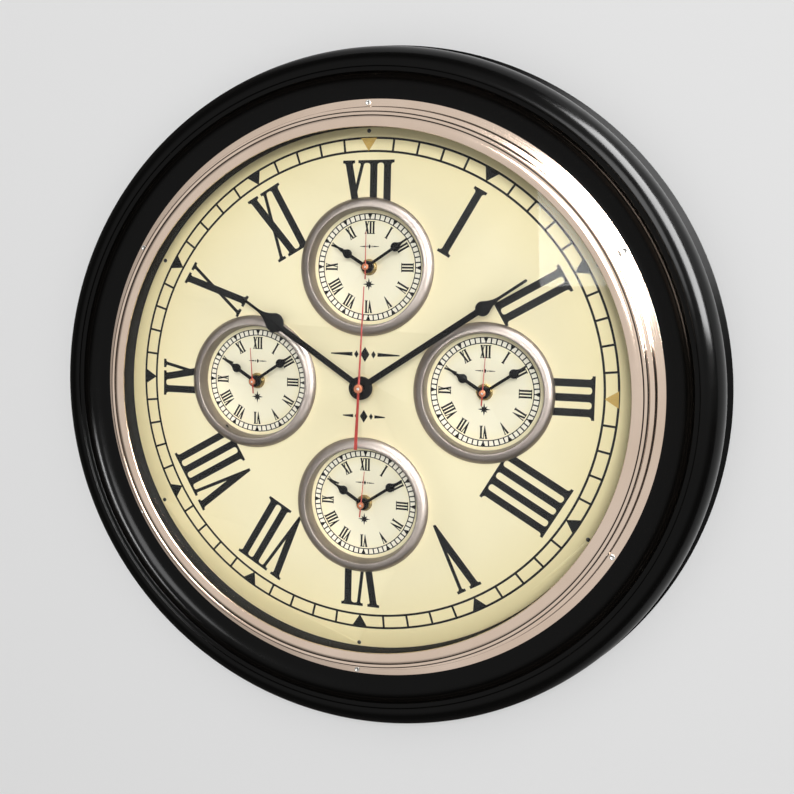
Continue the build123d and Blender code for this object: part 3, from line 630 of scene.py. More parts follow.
def carve(body: Mesh, cutter: Mesh) -> Mesh:
    """Cut one closed mesh out of another.

    Args:
        body: The mesh that is cut, which is freed.
        cutter: The mesh that is taken away, which is freed.

    Returns:
        What is left of the body.
    """
    holders = []
    for source in (body, cutter):
        mesh = bpy.data.meshes.new("carving")
        source.to_mesh(mesh)
        source.free()
        holders.append(bpy.data.objects.new("carving", mesh))
        bpy.context.scene.collection.objects.link(holders[-1])
    cut = holders[0].modifiers.new("cut", "BOOLEAN")
    cut.operation = "DIFFERENCE"
    cut.solver = "EXACT"
    cut.object = holders[1]
    carved = bmesh.new()
    carved.from_object(holders[0], bpy.context.evaluated_depsgraph_get())
    for holder in holders:
        mesh = holder.data
        bpy.data.objects.remove(holder)
        bpy.data.meshes.remove(mesh)
    return carved


def machined(node: str, edge: float, segments: int = 2) -> Mesh:
    """Copy a CAD node in millimetres, with its flat faces joined and its sharp edges rounded.

    Args:
        node: Name of the CAD node.
        edge: Width of the rounding.
        segments: Faces across the rounding.

    Returns:
        The mesh of the finished node.
    """
    bm = bmesh.new()
    bm.from_mesh(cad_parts[node].data)
    bmesh.ops.scale(bm, vec=(1 / MM, 1 / MM, 1 / MM), verts=bm.verts[:])
    bmesh.ops.remove_doubles(bm, verts=bm.verts[:], dist=MERGE_DIST)
    bmesh.ops.dissolve_limit(bm, angle_limit=FLAT_ANGLE, verts=bm.verts[:], edges=bm.edges[:])
    sharp = [item for item in bm.edges if item.is_manifold and item.calc_face_angle() > SHARP_ANGLE]
    round_off(bm, sharp, edge, segments, "EDGES")
    return bm


def make_piece(
    bm: Mesh, name: str, finishes: list[Finish], node: str | None = None, body: str = "case"
) -> None:
    """Turn a mesh in millimetres into a piece that rides on a body.

    Args:
        bm: The mesh, which is freed.
        name: Name of the piece.
        finishes: Finishes in the order of the mesh's material numbers.
        node: CAD node that the piece stands for.
        body: CAD body that the piece rides on.
    """
    bmesh.ops.scale(bm, vec=(MM, MM, MM), verts=bm.verts[:])
    for face in bm.faces:
        face.smooth = len(face.verts) <= QUAD
    mesh = bpy.data.meshes.new(name)
    bm.to_mesh(mesh)
    bm.free()
    mesh.set_sharp_from_angle(angle=SHARP_ANGLE)
    for finish in finishes:
        mesh.materials.append(finish.material())
    piece = bpy.data.objects.new(name, mesh)
    bpy.context.scene.collection.objects.link(piece)
    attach(piece, body)
    if node:
        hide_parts(node)
    MADE.append(piece)


def finish_node(
    node: str, edge: float, finish: Finish, body: str = "case", ending: str = "finished"
) -> None:
    """Make a piece of a CAD node that only needs rounded edges and a finish.

    Args:
        node: Name of the CAD node.
        edge: Width of the rounding.
        finish: Its finish.
        body: CAD body that the piece rides on.
        ending: What the piece's name adds to the node's.
    """
    make_piece(machined(node, edge), f"{node}_{ending}", [finish], node, body)


class Lathe:
    """Draws a profile of radius and depth and turns it about an arbor."""

    def __init__(self, r: float, depth: float) -> None:
        """Start the profile at a radius and depth."""
        self.bm = bmesh.new()
        self.first = self.bm.verts.new((r, -depth, 0.0))
        self.last = self.first

    def line(self, *corners: Point) -> "Lathe":
        """Run straight to each corner in turn.

        Args:
            corners: Radius and depth of each corner.

        Returns:
            The lathe.
        """
        for r, depth in corners:
            self.last = bmesh.ops.extrude_vert_indiv(self.bm, verts=[self.last])["verts"][0]
            self.last.co = (r, -depth, 0.0)
        return self

    def arc(self, centre: Point, degrees: float, steps: int, squash: float = 1.0) -> None:
        """Sweep round a centre; a squashed arc starts at its centre's depth.

        Args:
            centre: Radius and depth of the arc's centre.
            degrees: Angle of the sweep, positive towards greater depth from larger radius.
            steps: Edges along the arc.
            squash: Height of the arc as a share of its width.
        """
        hub = Vector((centre[0], -centre[1], 0.0))
        kept = set(self.bm.verts)
        made = bmesh.ops.spin(
            self.bm,
            geom=[self.last],
            cent=hub,
            axis=(0.0, 0.0, -1.0),
            angle=math.radians(degrees),
            steps=steps,
        )
        fresh = [vert for vert in self.bm.verts if vert not in kept]
        self.last = of_kind(made["geom_last"], bmesh.types.BMVert)[0]
        bmesh.ops.scale(self.bm, vec=(1.0, squash, 1.0), verts=fresh, space=Matrix.Translation(-hub))

    def arc_over(self, start: Point, crown: Point, end: Point, steps: int) -> None:
        """Sweep an arc through three points, of which the first ends the profile so far.

        Args:
            start: First point.
            crown: Point on the way.
            end: Last point.
            steps: Edges along the arc.
        """
        one = Vector(start)
        two, three = Vector(crown) - one, Vector(end) - one
        cross = 2 * two.cross(three)
        hub_x = (three.y * two.length_squared - two.y * three.length_squared) / cross
        hub_y = (two.x * three.length_squared - three.x * two.length_squared) / cross
        hub = Vector((hub_x, hub_y))
        sweep = (-hub).angle_signed(three - hub)
        self.arc(tuple(one + hub), -math.degrees(sweep), steps)

    def close(self) -> "Lathe":
        """Join the end of the profile to its start."""
        self.bm.edges.new((self.last, self.first))
        return self

    def soften(self, offset: float, segments: int = 3) -> "Lathe":
        """Round every sharp corner of a closed profile.

        Args:
            offset: Length that each rounding takes from its edges.
            segments: Edges of each rounding.

        Returns:
            The lathe.
        """
        bmesh.ops.contextual_create(self.bm, geom=self.bm.edges[:])
        sharp = []
        for vert in self.bm.verts:
            one, two = [(edge.other_vert(vert).co - vert.co) for edge in vert.link_edges]
            if math.pi - one.angle(two) > SHARP_ANGLE:
                sharp.append(vert)
        round_off(self.bm, sharp, offset, segments, "VERTICES")
        bmesh.ops.delete(self.bm, geom=self.bm.faces[:], context="FACES_ONLY")
        return self

    def turn(self, steps: int, centre: Point = (0.0, 0.0)) -> Mesh:
        """Turn the profile about the clock's axis and set it on an arbor.

        Args:
            steps: Faces round the ring.
            centre: The arbor's x and z.

        Returns:
            The turned mesh.
        """
        bmesh.ops.spin(
            self.bm,
            geom=self.bm.verts[:] + self.bm.edges[:],
            cent=(0.0, 0.0, 0.0),
            axis=AXIS,
            angle=math.tau,
            steps=steps,
            use_merge=True,
        )
        bmesh.ops.remove_doubles(self.bm, verts=self.bm.verts[:], dist=MERGE_DIST)
        bmesh.ops.recalc_face_normals(self.bm, faces=self.bm.faces[:])
        bmesh.ops.translate(self.bm, vec=(centre[0], 0.0, centre[1]), verts=self.bm.verts[:])
        return self.bm


@dataclass(frozen=True)
class Shape:
    """Flat outline on a dial, with u to the right and v outwards, and the corners that are rounded."""

    corners: tuple[Point, ...]
    rounded: tuple[int, ...] = ()
    radius: float = 0.0
    lift: float = 0.0


SLASH_ROUNDED = (3, 4, 9, 10)
VEE_ROUNDED = (2, 7, 9, 14)


@dataclass(frozen=True)
class RomanType:
    """Slab-serif Roman numerals, with every size a share of their height."""

    stem: float = 0.104
    hair: float = 0.048
    slab: float = 0.040
    overhang: float = 0.046
    bracket: float = 0.036
    tight: float = 0.7
    vee_wide: float = 0.372
    ex_wide: float = 0.350
    bold_foot: float = 0.175
    hair_foot: float = 0.128
    apex: float = 0.040
    lean: float = 0.03
    layer: float = 0.002

    def advance(self, letter: str) -> float:
        """Width that one letter takes in a numeral."""
        return {"I": self.stem + 2 * self.overhang, "V": self.vee_wide, "X": self.ex_wide}[letter]

    def upright(self) -> list[Shape]:
        """Outline of I: a stem between two slabs."""
        return [self.slash(self.stem / 2, self.advance("I"), 0.0, self.bracket)]

    def vee(self) -> list[Shape]:
        """Outline of V: a bold left stroke and a hair right stroke that meet in a blunt apex."""
        bold_at = -self.vee_wide / 2 + self.bold_foot / 2
        hair_at = self.vee_wide / 2 - self.hair_foot / 2
        bold, hair, tip = self.stem / 2, self.hair / 2, self.apex / 2
        high = 1.0 - self.slab
        bold_run = (self.lean - tip - bold_at + bold) / high
        hair_run = (self.lean + tip - hair_at - hair) / high
        drop = (hair_at - hair - bold_at - bold) / (bold_run - hair_run)
        crotch = (bold_at + bold + bold_run * drop, high - drop)
        corners = ((self.lean - tip, 0.0), (self.lean + tip, 0.0))
        corners += self.head(hair_at, hair, self.hair_foot / 2) + (crotch,)
        corners += self.head(bold_at, bold, self.bold_foot / 2)
        return [Shape(corners, VEE_ROUNDED, self.bracket * self.tight)]

    def head(self, middle: float, half: float, end: float) -> tuple[Point, ...]:
        """Top of one stroke, from right to left round its slab.

        Args:
            middle: Middle of the slab.
            half: Half of the stroke's level width.
            end: Half of the slab's width.

        Returns:
            The corners.
        """
        high = 1.0 - self.slab
        right = ((middle + half, high), (middle + end, high), (middle + end, 1.0))
        return right + ((middle - end, 1.0), (middle - end, high), (middle - half, high))

    def slash(self, half: float, foot: float, top: float, bracket: float, lift: float = 0.0) -> Shape:
        """One straight stroke with a slab at each end.

        Args:
            half: Half of the stroke's level width.
            foot: Width of the slabs.
            top: Middle of the upper slab; the lower one lies opposite.
            bracket: Rounding between the stroke and its slabs.
            lift: Extra height of the ink, so that crossing strokes don't share a face.

        Returns:
            The stroke's outline.
        """
        low, end = self.slab, foot / 2
        right = ((-top - end, 0.0), (end - top, 0.0), (end - top, low), (half - top, low))
        left = ((-top - half, low), (-top - end, low))
        return Shape(right + self.head(top, half, end) + left, SLASH_ROUNDED, bracket, lift)

    def ex(self) -> list[Shape]:
        """Strokes of X: bold from top left, hair from top right."""
        bold_top = -(self.ex_wide - self.bold_foot) / 2
        hair_top = (self.ex_wide - self.hair_foot) / 2
        bracket = self.bracket * self.tight
        return [
            self.slash(self.stem / 2, self.bold_foot, bold_top, bracket),
            self.slash(self.hair / 2, self.hair_foot, hair_top, bracket, self.layer),
        ]

    def numeral(self, text: str, height: float, base: float) -> list[Shape]:
        """Outlines of a whole numeral, with its base at a radius.

        Args:
            text: Letters of the numeral.
            height: Height of the letters.
            base: Radius of the foot of the letters.

        Returns:
            The outlines for 12 o'clock.
        """
        letters = {"I": self.upright(), "V": self.vee(), "X": self.ex()}
        cursor = -sum(self.advance(letter) for letter in text) / 2
        shapes = []
        for letter in text:
            middle = cursor + self.advance(letter) / 2
            cursor += self.advance(letter)
            for shape in letters[letter]:
                corners = tuple(((u + middle) * height, v * height + base) for u, v in shape.corners)
                shapes.append(Shape(corners, shape.rounded, shape.radius * height, shape.lift))
        return shapes


@dataclass(frozen=True)
class Flourish:
    """Plain printed ornament: a large lozenge between two small ones and two tapered rules."""

    width: float
    height: float
    rule: float
    at: float
    taper: float = 0.3
    slim: float = 0.62
    small: float = 0.5
    gap: float = 0.12

    def shapes(self) -> list[Shape]:
        """Outlines of the three lozenges and the two rules."""
        wide = self.height * self.slim / 2
        space = self.height * self.gap
        side = wide * (1 + self.small) + space
        shapes = [self.lozenge(0.0, 1.0), self.lozenge(side, self.small), self.lozenge(-side, self.small)]
        start = side + wide * self.small + space
        root, tip = self.rule / 2, self.rule * self.taper / 2
        for turn in (1.0, -1.0):
            near, far = turn * start, turn * self.width / 2
            lower = ((near, self.at - root), (far, self.at - tip))
            upper = ((far, self.at + tip), (near, self.at + root))
            shapes.append(Shape(lower + upper))
        return shapes

    def lozenge(self, across: float, share: float) -> Shape:
        """One lozenge of the row.

        Args:
            across: Distance of its middle from the ornament's middle.
            share: Its size, as a share of the large one.

        Returns:
            The lozenge's outline.
        """
        tall = self.height * share / 2
        wide = tall * self.slim
        upright = ((across, self.at - tall), (across + wide, self.at))
        return Shape(upright + ((across, self.at + tall), (across - wide, self.at)))


@dataclass(frozen=True)
class CompassStar:
    """Plain printed star of four long and four short points."""

    reach: float
    at: float
    short: float = 0.7
    waist: float = 0.26
    points: int = 4
    layer: float = 0.004

    def shapes(self) -> list[Shape]:
        """Outlines of the short-pointed and the long-pointed star."""
        between = self.star(self.reach * self.short, shift=0.5, lift=0.0)
        return [between, self.star(self.reach, shift=0.0, lift=self.layer)]

    def star(self, reach: float, shift: float, lift: float) -> Shape:
        """One star of even points.

        Args:
            reach: Radius of the points.
            shift: Turn of the star, as a share of the angle between points.
            lift: Extra height of the ink.

        Returns:
            The star's outline.
        """
        corners = []
        for index in range(2 * self.points):
            turn = math.tau * (index / 2 + shift) / self.points
            radius = self.reach * self.waist if index % 2 else reach
            corners.append((radius * math.sin(turn), self.at + radius * math.cos(turn)))
        return Shape(tuple(corners), lift=lift)


MAIN_NUMERALS = ("XII", "I", "II", "III", "IIII", "V", "VI", "VII", "VIII", "IX", "X", "XI")
SMALL_NUMERALS = ("XII", "I", "II", "III", "IV", "V", "VI", "VII", "VIII", "IX", "X", "XI")
MINUTES = 60
HOURS = 12
QUARTER = 3
MINUTE_TURN = 360.0 / MINUTES
HOUR_TURN = 360.0 / HOURS
HOUR_STEP = MINUTES // HOURS


class Stencil:
    """Lays flat shapes of ink on one dial."""

    ink: float = 0.03
    sunk: float = 0.02
    segments: int = 4
    steps: int = 256
    mark_lift: float = 0.004

    def __init__(self, centre: Point, depth: float) -> None:
        """Start an empty print at a dial's centre, on the depth of its face."""
        self.centre = centre
        self.depth = depth
        self.bm = bmesh.new()

    def lay(self, shape: Shape, degrees: float = 0.0, cut_below: float | None = None) -> None:
        """Add one shape, turned clockwise about the dial's centre.

        Args:
            shape: The outline, drawn for 12 o'clock.
            degrees: Clock angle from 12.
            cut_below: Radius inside which the shape is cut away.
        """
        bm = bmesh.new()
        verts = [bm.verts.new((u, 0.0, v)) for u, v in shape.corners]
        bm.faces.new(verts)
        if shape.rounded:
            picked = [verts[index] for index in shape.rounded]
            round_off(bm, picked, shape.radius, self.segments, "VERTICES")
        if cut_below is not None:
            bmesh.ops.bisect_plane(
                bm,
                geom=bm.verts[:] + bm.edges[:] + bm.faces[:],
                plane_co=(0.0, 0.0, cut_below),
                plane_no=(0.0, 0.0, 1.0),
                clear_inner=True,
            )
        made = bmesh.ops.extrude_face_region(bm, geom=bm.faces[:])
        front = of_kind(made["geom"], bmesh.types.BMVert)
        bmesh.ops.translate(bm, vec=(0.0, -self.ink - self.sunk - shape.lift, 0.0), verts=front)
        bmesh.ops.recalc_face_normals(bm, faces=bm.faces[:])
        turn = Matrix.Rotation(math.radians(degrees), 3, AXIS)
        bmesh.ops.rotate(bm, cent=(0.0, 0.0, 0.0), matrix=turn, verts=bm.verts[:])
        place = (self.centre[0], self.sunk - self.depth, self.centre[1])
        bmesh.ops.translate(bm, vec=place, verts=bm.verts[:])
        stamp(bm, self.bm)

    def ring(self, radius: float, width: float, lift: float = 0.0) -> None:
        """Add a circle.

        Args:
            radius: Radius of the middle of the line.
            width: Width of the line.
            lift: Extra height of the ink.
        """
        low, high = self.depth - self.sunk, self.depth + self.ink + lift
        inner, outer = radius - width / 2, radius + width / 2
        lathe = Lathe(inner, low).line((outer, low), (outer, high), (inner, high))
        stamp(lathe.close().turn(self.steps, self.centre), self.bm)

    def tick(self, width: float, inner: float, outer: float, minute: int) -> None:
        """Add a straight line between two radii.

        Args:
            width: Width of the line.
            inner: Radius of its foot.
            outer: Radius of its head.
            minute: Minute at which it stands.
        """
        half = width / 2
        bar = Shape(((-half, inner), (half, inner), (half, outer), (-half, outer)))
        self.lay(bar, minute * MINUTE_TURN)

    def mark(self, base: float, inner: float, outer: float, hour: int) -> None:
        """Add a triangle between two radii.

        Args:
            base: Half of its base, as an angle.
            inner: Radius of its tip.
            outer: Radius of its base.
            hour: Hour at which it stands.
        """
        half = outer * math.sin(math.radians(base))
        triangle = Shape(((0.0, inner), (half, outer), (-half, outer)), lift=self.mark_lift)
        self.lay(triangle, hour * HOUR_TURN)


@dataclass
class CaseAssembly:
    """Turned case ring, spun bezel and domed glass."""

    band_height: float = 5.5
    side_height: float = 15.0
    band_step: float = 4.9
    ovolo_width: float = 16.2
    ovolo_steps: int = 28
    fillet_width: float = 2.9
    fillet_step: float = 1.4
    cove_width: float = 14.1
    cove_height: float = 9.6
    cove_steps: int = 20
    riser: float = 11.0
    shoulder_width: float = 5.5
    ring_soft: float = 0.35
    bezel_wall: float = 1.2
    bezel_soft: float = 0.18
    flange_width: float = 5.0
    flange_thick: float = 1.0
    flange_fall: float = 0.22
    crease_half: float = 0.75
    crease_thin: float = 0.375
    riser_lean: float = 1.6
    ledge_width: float = 2.7
    step_lean: float = 0.9
    step_height: float = 5.2
    lip_width: float = 2.7
    lip_thick: float = 1.0
    bead_width: float = 2.8
    bead_rise: float = 1.8
    bead_crown: float = 0.6
    bead_steps: int = 14
    crease_drop: float = 0.22
    inner_crown: float = 0.6
    fit: float = 0.3
    glass_thick: float = 2.0
    dome_steps: int = 40
    glass_steps: int = 256
    steps: int = 360

    def build(self) -> None:
        """Make the ring, the bezel and the glass."""
        self.ring = Extent.of("case_ring")
        self.flange = Extent.of("bezel")
        self.pane = Extent.of("front_glass")
        self.board = Extent.of("dial_board")
        self.seat = self.ring.front - self.riser
        self.riser_r = self.flange.radius - self.flange_width
        self.ledge_r = self.riser_r - self.riser_lean
        self.foot_r = self.ledge_r - self.ledge_width
        self.step_r = self.foot_r - self.step_lean
        self.bore_r = self.step_r - self.bezel_wall
        self.shoulder_r = self.bore_r - self.fit
        self.opening_r = self.shoulder_r - self.shoulder_width
        self.build_ring()
        self.build_bezel()
        self.build_glass()

    def build_ring(self) -> None:
        """Turn the lacquered ring."""
        outer = self.ring.radius
        crest_r = outer - self.band_step - self.ovolo_width
        fillet_r = crest_r - self.fillet_width
        seat_r = fillet_r - self.cove_width
        fillet_d = self.ring.front - self.fillet_step
        rebate_r = self.board.radius + self.fit
        side_d = self.band_height + self.side_height
        lathe = Lathe(rebate_r, 0.0)
        lathe.line((outer, 0.0), (outer, self.band_height))
        lathe.line((outer - self.band_step, self.band_height), (outer - self.band_step, side_d))
        ovolo_squash = (self.ring.front - side_d) / self.ovolo_width
        lathe.arc((crest_r, side_d), 90.0, self.ovolo_steps, ovolo_squash)
        lathe.line((crest_r, fillet_d), (fillet_r, fillet_d))
        lathe.arc((seat_r, fillet_d), -90.0, self.cove_steps, self.cove_height / self.cove_width)
        lathe.line(
            (self.shoulder_r, self.seat),
            (self.shoulder_r, self.ring.front),
            (self.opening_r, self.ring.front),
            (self.opening_r, self.board.front),
            (rebate_r, self.board.front),
        )
        mesh = carve(lathe.close().soften(self.ring_soft).turn(self.steps), self.hanger_pocket())
        tint_within(mesh, self.opening_r + self.fit)
        make_piece(mesh, "turned_case_ring", [LACQUER, WALL_BLACK], "case_ring")

    def hanger_pocket(self) -> Mesh:
        """Block that leaves room for the hanger plate in the back of the ring."""
        plate = Extent.of("hanger_plate")
        high = plate.high.z + self.fit
        low = plate.low.z - self.fit
        block = bmesh.new()
        place = Matrix.Translation((0.0, 0.0, (high + low) / 2))
        size = Matrix.Diagonal((2 * (plate.radius + self.fit), 2 * plate.front, high - low, 1.0))
        bmesh.ops.create_cube(block, size=1.0, matrix=place @ size)
        return block

    def build_bezel(self) -> None:
        """Spin the plated bezel."""
        lip_r = self.opening_r - self.lip_width
        under = self.pane.front - lip_r**2 / (2 * self.sphere_radius()) + self.fit
        lip_top = under + self.lip_thick
        crease_r = self.step_r - self.bead_width
        crease_d = lip_top - self.crease_drop
        step_d = crease_d - self.bead_rise
        ledge_d = step_d - self.step_height
        flange_top = self.seat + self.flange_thick
        lathe = Lathe(lip_r, under)
        lathe.line(
            (self.bore_r, under),
            (self.bore_r, ledge_d - self.bezel_wall),
            (self.ledge_r - self.bezel_wall, ledge_d - self.bezel_wall),
            (self.riser_r - self.bezel_wall, self.seat),
            (self.flange.radius, self.seat),
            (self.flange.radius, flange_top - self.flange_fall),
            (self.riser_r, flange_top + self.flange_fall),
            (self.ledge_r, ledge_d),
            (self.foot_r, ledge_d),
            (self.step_r, step_d),
        )
        step, crease, lip = (self.step_r, step_d), (crease_r, crease_d), (lip_r, lip_top)
        bead = ((self.step_r + crease_r) / 2, crease_d + self.bead_crown)
        inner = ((crease_r + lip_r) / 2, lip_top + self.inner_crown)
        lathe.arc_over(step, bead, crease, self.bead_steps)
        lathe.arc_over(crease, inner, lip, self.bead_steps)
        mesh = lathe.close().soften(self.bezel_soft).turn(self.steps)
        # The three creases darken the bezel's grooves with painted shade.
        creases = (
            ((self.riser_r - self.crease_half) * MM, self.crease_half * MM),
            ((self.foot_r - self.crease_half) * MM, self.crease_half * MM),
            (crease_r * MM, self.crease_thin * MM),
        )
        make_piece(mesh, "spun_bezel", [replace(NICKEL, creases=creases)], "bezel")

    def sphere_radius(self) -> float:
        """Radius of the glass dome, from its rim and its rise."""
        rise = self.pane.front - self.pane.back - self.glass_thick
        return (self.pane.radius**2 + rise**2) / (2 * rise)

    def build_glass(self) -> None:
        """Blow the domed glass."""
        sphere = self.sphere_radius()
        half = math.degrees(math.asin(self.pane.radius / sphere))
        hub = self.pane.front - sphere
        lathe = Lathe(0.0, self.pane.front)
        lathe.arc((0.0, hub), -half, self.dome_steps)
        lathe.line((lathe.last.co.x, -lathe.last.co.y - self.glass_thick))
        lathe.arc((0.0, hub - self.glass_thick), half, self.dome_steps)
        make_piece(lathe.turn(self.glass_steps), "domed_glass", [GLASS], "front_glass")


@dataclass
class MainDial:
    """Cream sheet with its chapter ring, numerals, ornaments and edge pins."""

    chapter_share: float = 0.8934
    chapter_width: float = 8.4
    line: float = 1.45
    mark_half: float = 1.9
    gold_hours: tuple[int, ...] = (0, 3)
    numeral_share: float = 0.860
    numeral_height: float = 46.8
    under_ring: float = 2.9
    sheet_edge: float = 0.1
    pin_edge: float = 0.25
    pin_segments: int = 3
    upper: Flourish = Flourish(width=47.0, height=10.0, rule=2.6, at=21.5)
    lower: Flourish = Flourish(width=29.0, height=8.5, rule=2.2, at=-19.5)

    def build(self) -> None:
        """Make the sheet, its pins and its print."""
        self.sheet = Extent.of("dial_plate")
        self.centre = Extent.of("centre_arbor_main").centre
        sheet = machined("dial_plate", self.sheet_edge)
        make_piece(sheet, "dial_sheet", [MAIN_PAPER], "dial_plate")
        pins = machined("dial_pins", self.pin_edge, self.pin_segments)
        make_piece(pins, "dial_edge_pins", [BLACK_PIN], "dial_pins")
        self.print_chapter()
        self.print_numerals()

    def print_chapter(self) -> None:
        """Print the two circles, the minute lines and the hour marks."""
        inner = self.sheet.radius * self.chapter_share
        outer = inner + self.chapter_width
        black, gold = Stencil(self.centre, self.sheet.front), Stencil(self.centre, self.sheet.front)
        for radius in (inner, outer):
            black.ring(radius, self.line)
        for minute in range(MINUTES):
            if minute % HOUR_STEP:
                black.tick(self.line, inner, outer, minute)
        for hour in range(HOURS):
            stencil = gold if hour in self.gold_hours else black
            stencil.mark(self.mark_half, inner, outer, hour)
        make_piece(black.bm, "chapter_print", [INK])
        make_piece(gold.bm, "gold_hour_marks", [GOLD_INK])

    def print_numerals(self) -> None:
        """Print the ornaments and the numerals, cut short where a small dial's ring covers them."""
        stencil = Stencil(self.centre, self.sheet.front)
        base = self.sheet.radius * self.numeral_share - self.numeral_height
        covered = Extent.of("sub_bezel_top").high.z - self.centre[1] - self.under_ring
        face = RomanType()
        for hour, text in enumerate(MAIN_NUMERALS):
            for shape in face.numeral(text, self.numeral_height, base):
                stencil.lay(shape, hour * HOUR_TURN, None if hour % QUARTER else covered)
        for shape in self.upper.shapes() + self.lower.shapes():
            stencil.lay(shape)
        make_piece(stencil.bm, "numeral_print", [INK])


@dataclass
class SmallDial:
    """One small dial: its brushed ring, plate and print."""

    zone: Zone
    chapter_outer: float = 0.934
    chapter_inner: float = 0.835
    line: float = 0.6
    tick_width: float = 0.85
    mark_half: float = 2.6
    layer: float = 0.01
    letters: RomanType = RomanType(stem=0.15, hair=0.07, slab=0.055)
    numeral_share: float = 0.803
    numeral_height: float = 8.4
    wall: float = 2.3
    edge: float = 1.2
    lip: float = 1.0
    bulge: float = 0.9
    flange: float = 5.3
    ring_soft: float = 0.22
    crown_steps: int = 16
    steps: int = 192
    plate_edge: float = 0.1
    flourish: Flourish = Flourish(width=13.0, height=3.0, rule=0.9, at=13.6)
    star: CompassStar = CompassStar(reach=4.2, at=-11.2)

    def build(self) -> None:
        """Make the ring, the plate and the print."""
        self.ring = Extent.of(f"sub_bezel_{self.zone.value}")
        self.plate = Extent.of(f"sub_dial_{self.zone.value}")
        self.centre = self.ring.centre
        self.barrel_r = self.ring.radius - self.flange
        self.bore_r = self.barrel_r - self.wall
        self.build_ring()
        self.build_plate()
        self.build_print()

    def own(self, finish: TurnedMetal | DialPaper) -> TurnedMetal | DialPaper:
        """Copy of a finish that is centred on this dial."""
        x, z = self.centre
        return replace(finish, name=f"{finish.name}_{self.zone.value}", centre=(x * MM, z * MM))

    def build_ring(self) -> None:
        """Turn the brushed ring."""
        seat = Extent.of("dial_plate").front
        outer, top = self.ring.radius, self.ring.front
        lathe = Lathe(self.bore_r, self.ring.back)
        lathe.line(
            (self.barrel_r, self.ring.back),
            (self.barrel_r, seat),
            (outer, seat),
            (outer, seat + self.edge),
        )
        foot, rim = Vector((outer, seat + self.edge)), Vector((self.bore_r + 2 * self.lip, top))
        across = (rim - foot).normalized()
        crown = (foot + rim) / 2 + Vector((across.y, -across.x)) * self.bulge
        lathe.arc_over(foot, crown, rim, self.crown_steps)
        lathe.line((self.bore_r + self.lip, top))
        mesh = lathe.close().soften(self.ring_soft).turn(self.steps, self.centre)
        name, node = f"brushed_ring_{self.zone.value}", f"sub_bezel_{self.zone.value}"
        make_piece(mesh, name, [self.own(SATIN)], node)

    def build_plate(self) -> None:
        """Finish the plate that carries the print."""
        name, node = f"small_dial_{self.zone.value}", f"sub_dial_{self.zone.value}"
        make_piece(machined(node, self.plate_edge), name, [self.own(SMALL_PAPER)], node)

    def build_print(self) -> None:
        """Print the chapter ring, the numerals, the ornaments and the white minute cells."""
        inner, outer = self.bore_r * self.chapter_inner, self.bore_r * self.chapter_outer
        black, white = Stencil(self.centre, self.plate.front), Stencil(self.centre, self.plate.front)
        for radius in (inner, outer):
            black.ring(radius, self.line, self.layer)
        for minute in range(MINUTES):
            black.tick(self.tick_width, inner, outer, minute)
            if minute % HOUR_STEP == 0:
                black.mark(self.mark_half, inner, outer, minute // HOUR_STEP)
        base = self.bore_r * self.numeral_share - self.numeral_height
        for hour, text in enumerate(SMALL_NUMERALS):
            for shape in self.letters.numeral(text, self.numeral_height, base):
                black.lay(shape, hour * HOUR_TURN)
        for shape in self.flourish.shapes() + self.star.shapes():
            black.lay(shape)
        make_piece(black.bm, f"small_print_{self.zone.value}", [INK])
        white.ring((inner + outer) / 2, outer - inner, -self.layer)
        make_piece(white.bm, f"minute_cells_{self.zone.value}", [WHITE_INK])


@dataclass
class HandSet:
    """The three hands of one zone and the arbors that carry them."""

    zone: Zone
    edge: float = 0.14
    second_edge: float = 0.08
    work_edge: float = 0.06
    main_collet_r: float = 2.8
    small_collet_r: float = 2.1
    collet_slack: float = 0.1
    tip_share: float = 0.3

    def build(self) -> None:
        """Finish the hands and the motion work."""
        label = self.zone.value
        for kind in ("hour", "minute"):
            node, body = f"{kind}_hand_{label}", f"{kind}_{label}"
            finish_node(node, self.edge, BLACK_PAINT, body, "painted")
        self.build_second()
        works = (
            ("hour_wheel", "hour", GEAR, Slot.GEAR),
            ("centre_arbor", "minute", BRASS, Slot.BRASS),
            ("seconds_arbor", "second", SPRING, Slot.CONTACT),
            ("setting_wheel", "setting", GEAR, Slot.GEAR),
        )
        for part, body, finish, slot in works:
            node = f"{part}_{label}"
            piece = machined(node, self.work_edge, segments=1)
            make_piece(piece, f"{node}_finished", [finish], node, f"{body}_{label}")

    def build_second(self) -> None:
        """Finish the second hand: a red pointer and a copper collet, with the arbor's end in its middle."""
        node = f"second_hand_{self.zone.value}"
        bm = machined(node, self.second_edge)
        collet_r = self.main_collet_r if self.zone is Zone.MAIN else self.small_collet_r
        centre = Extent.of(f"seconds_arbor_{self.zone.value}").centre
        tint_within(bm, collet_r + self.collet_slack, centre)
        cap = min(bm.faces, key=lambda face: face.calc_center_median().y)
        rim = collet_r * (1 - self.tip_share) - self.second_edge
        bmesh.ops.inset_individual(bm, faces=[cap], thickness=rim)
        finishes = [RED_PAINT, COPPER, SPRING]
        cap.material_index = finishes.index(SPRING)
        make_piece(bm, f"{node}_painted", finishes, node, f"second_{self.zone.value}")


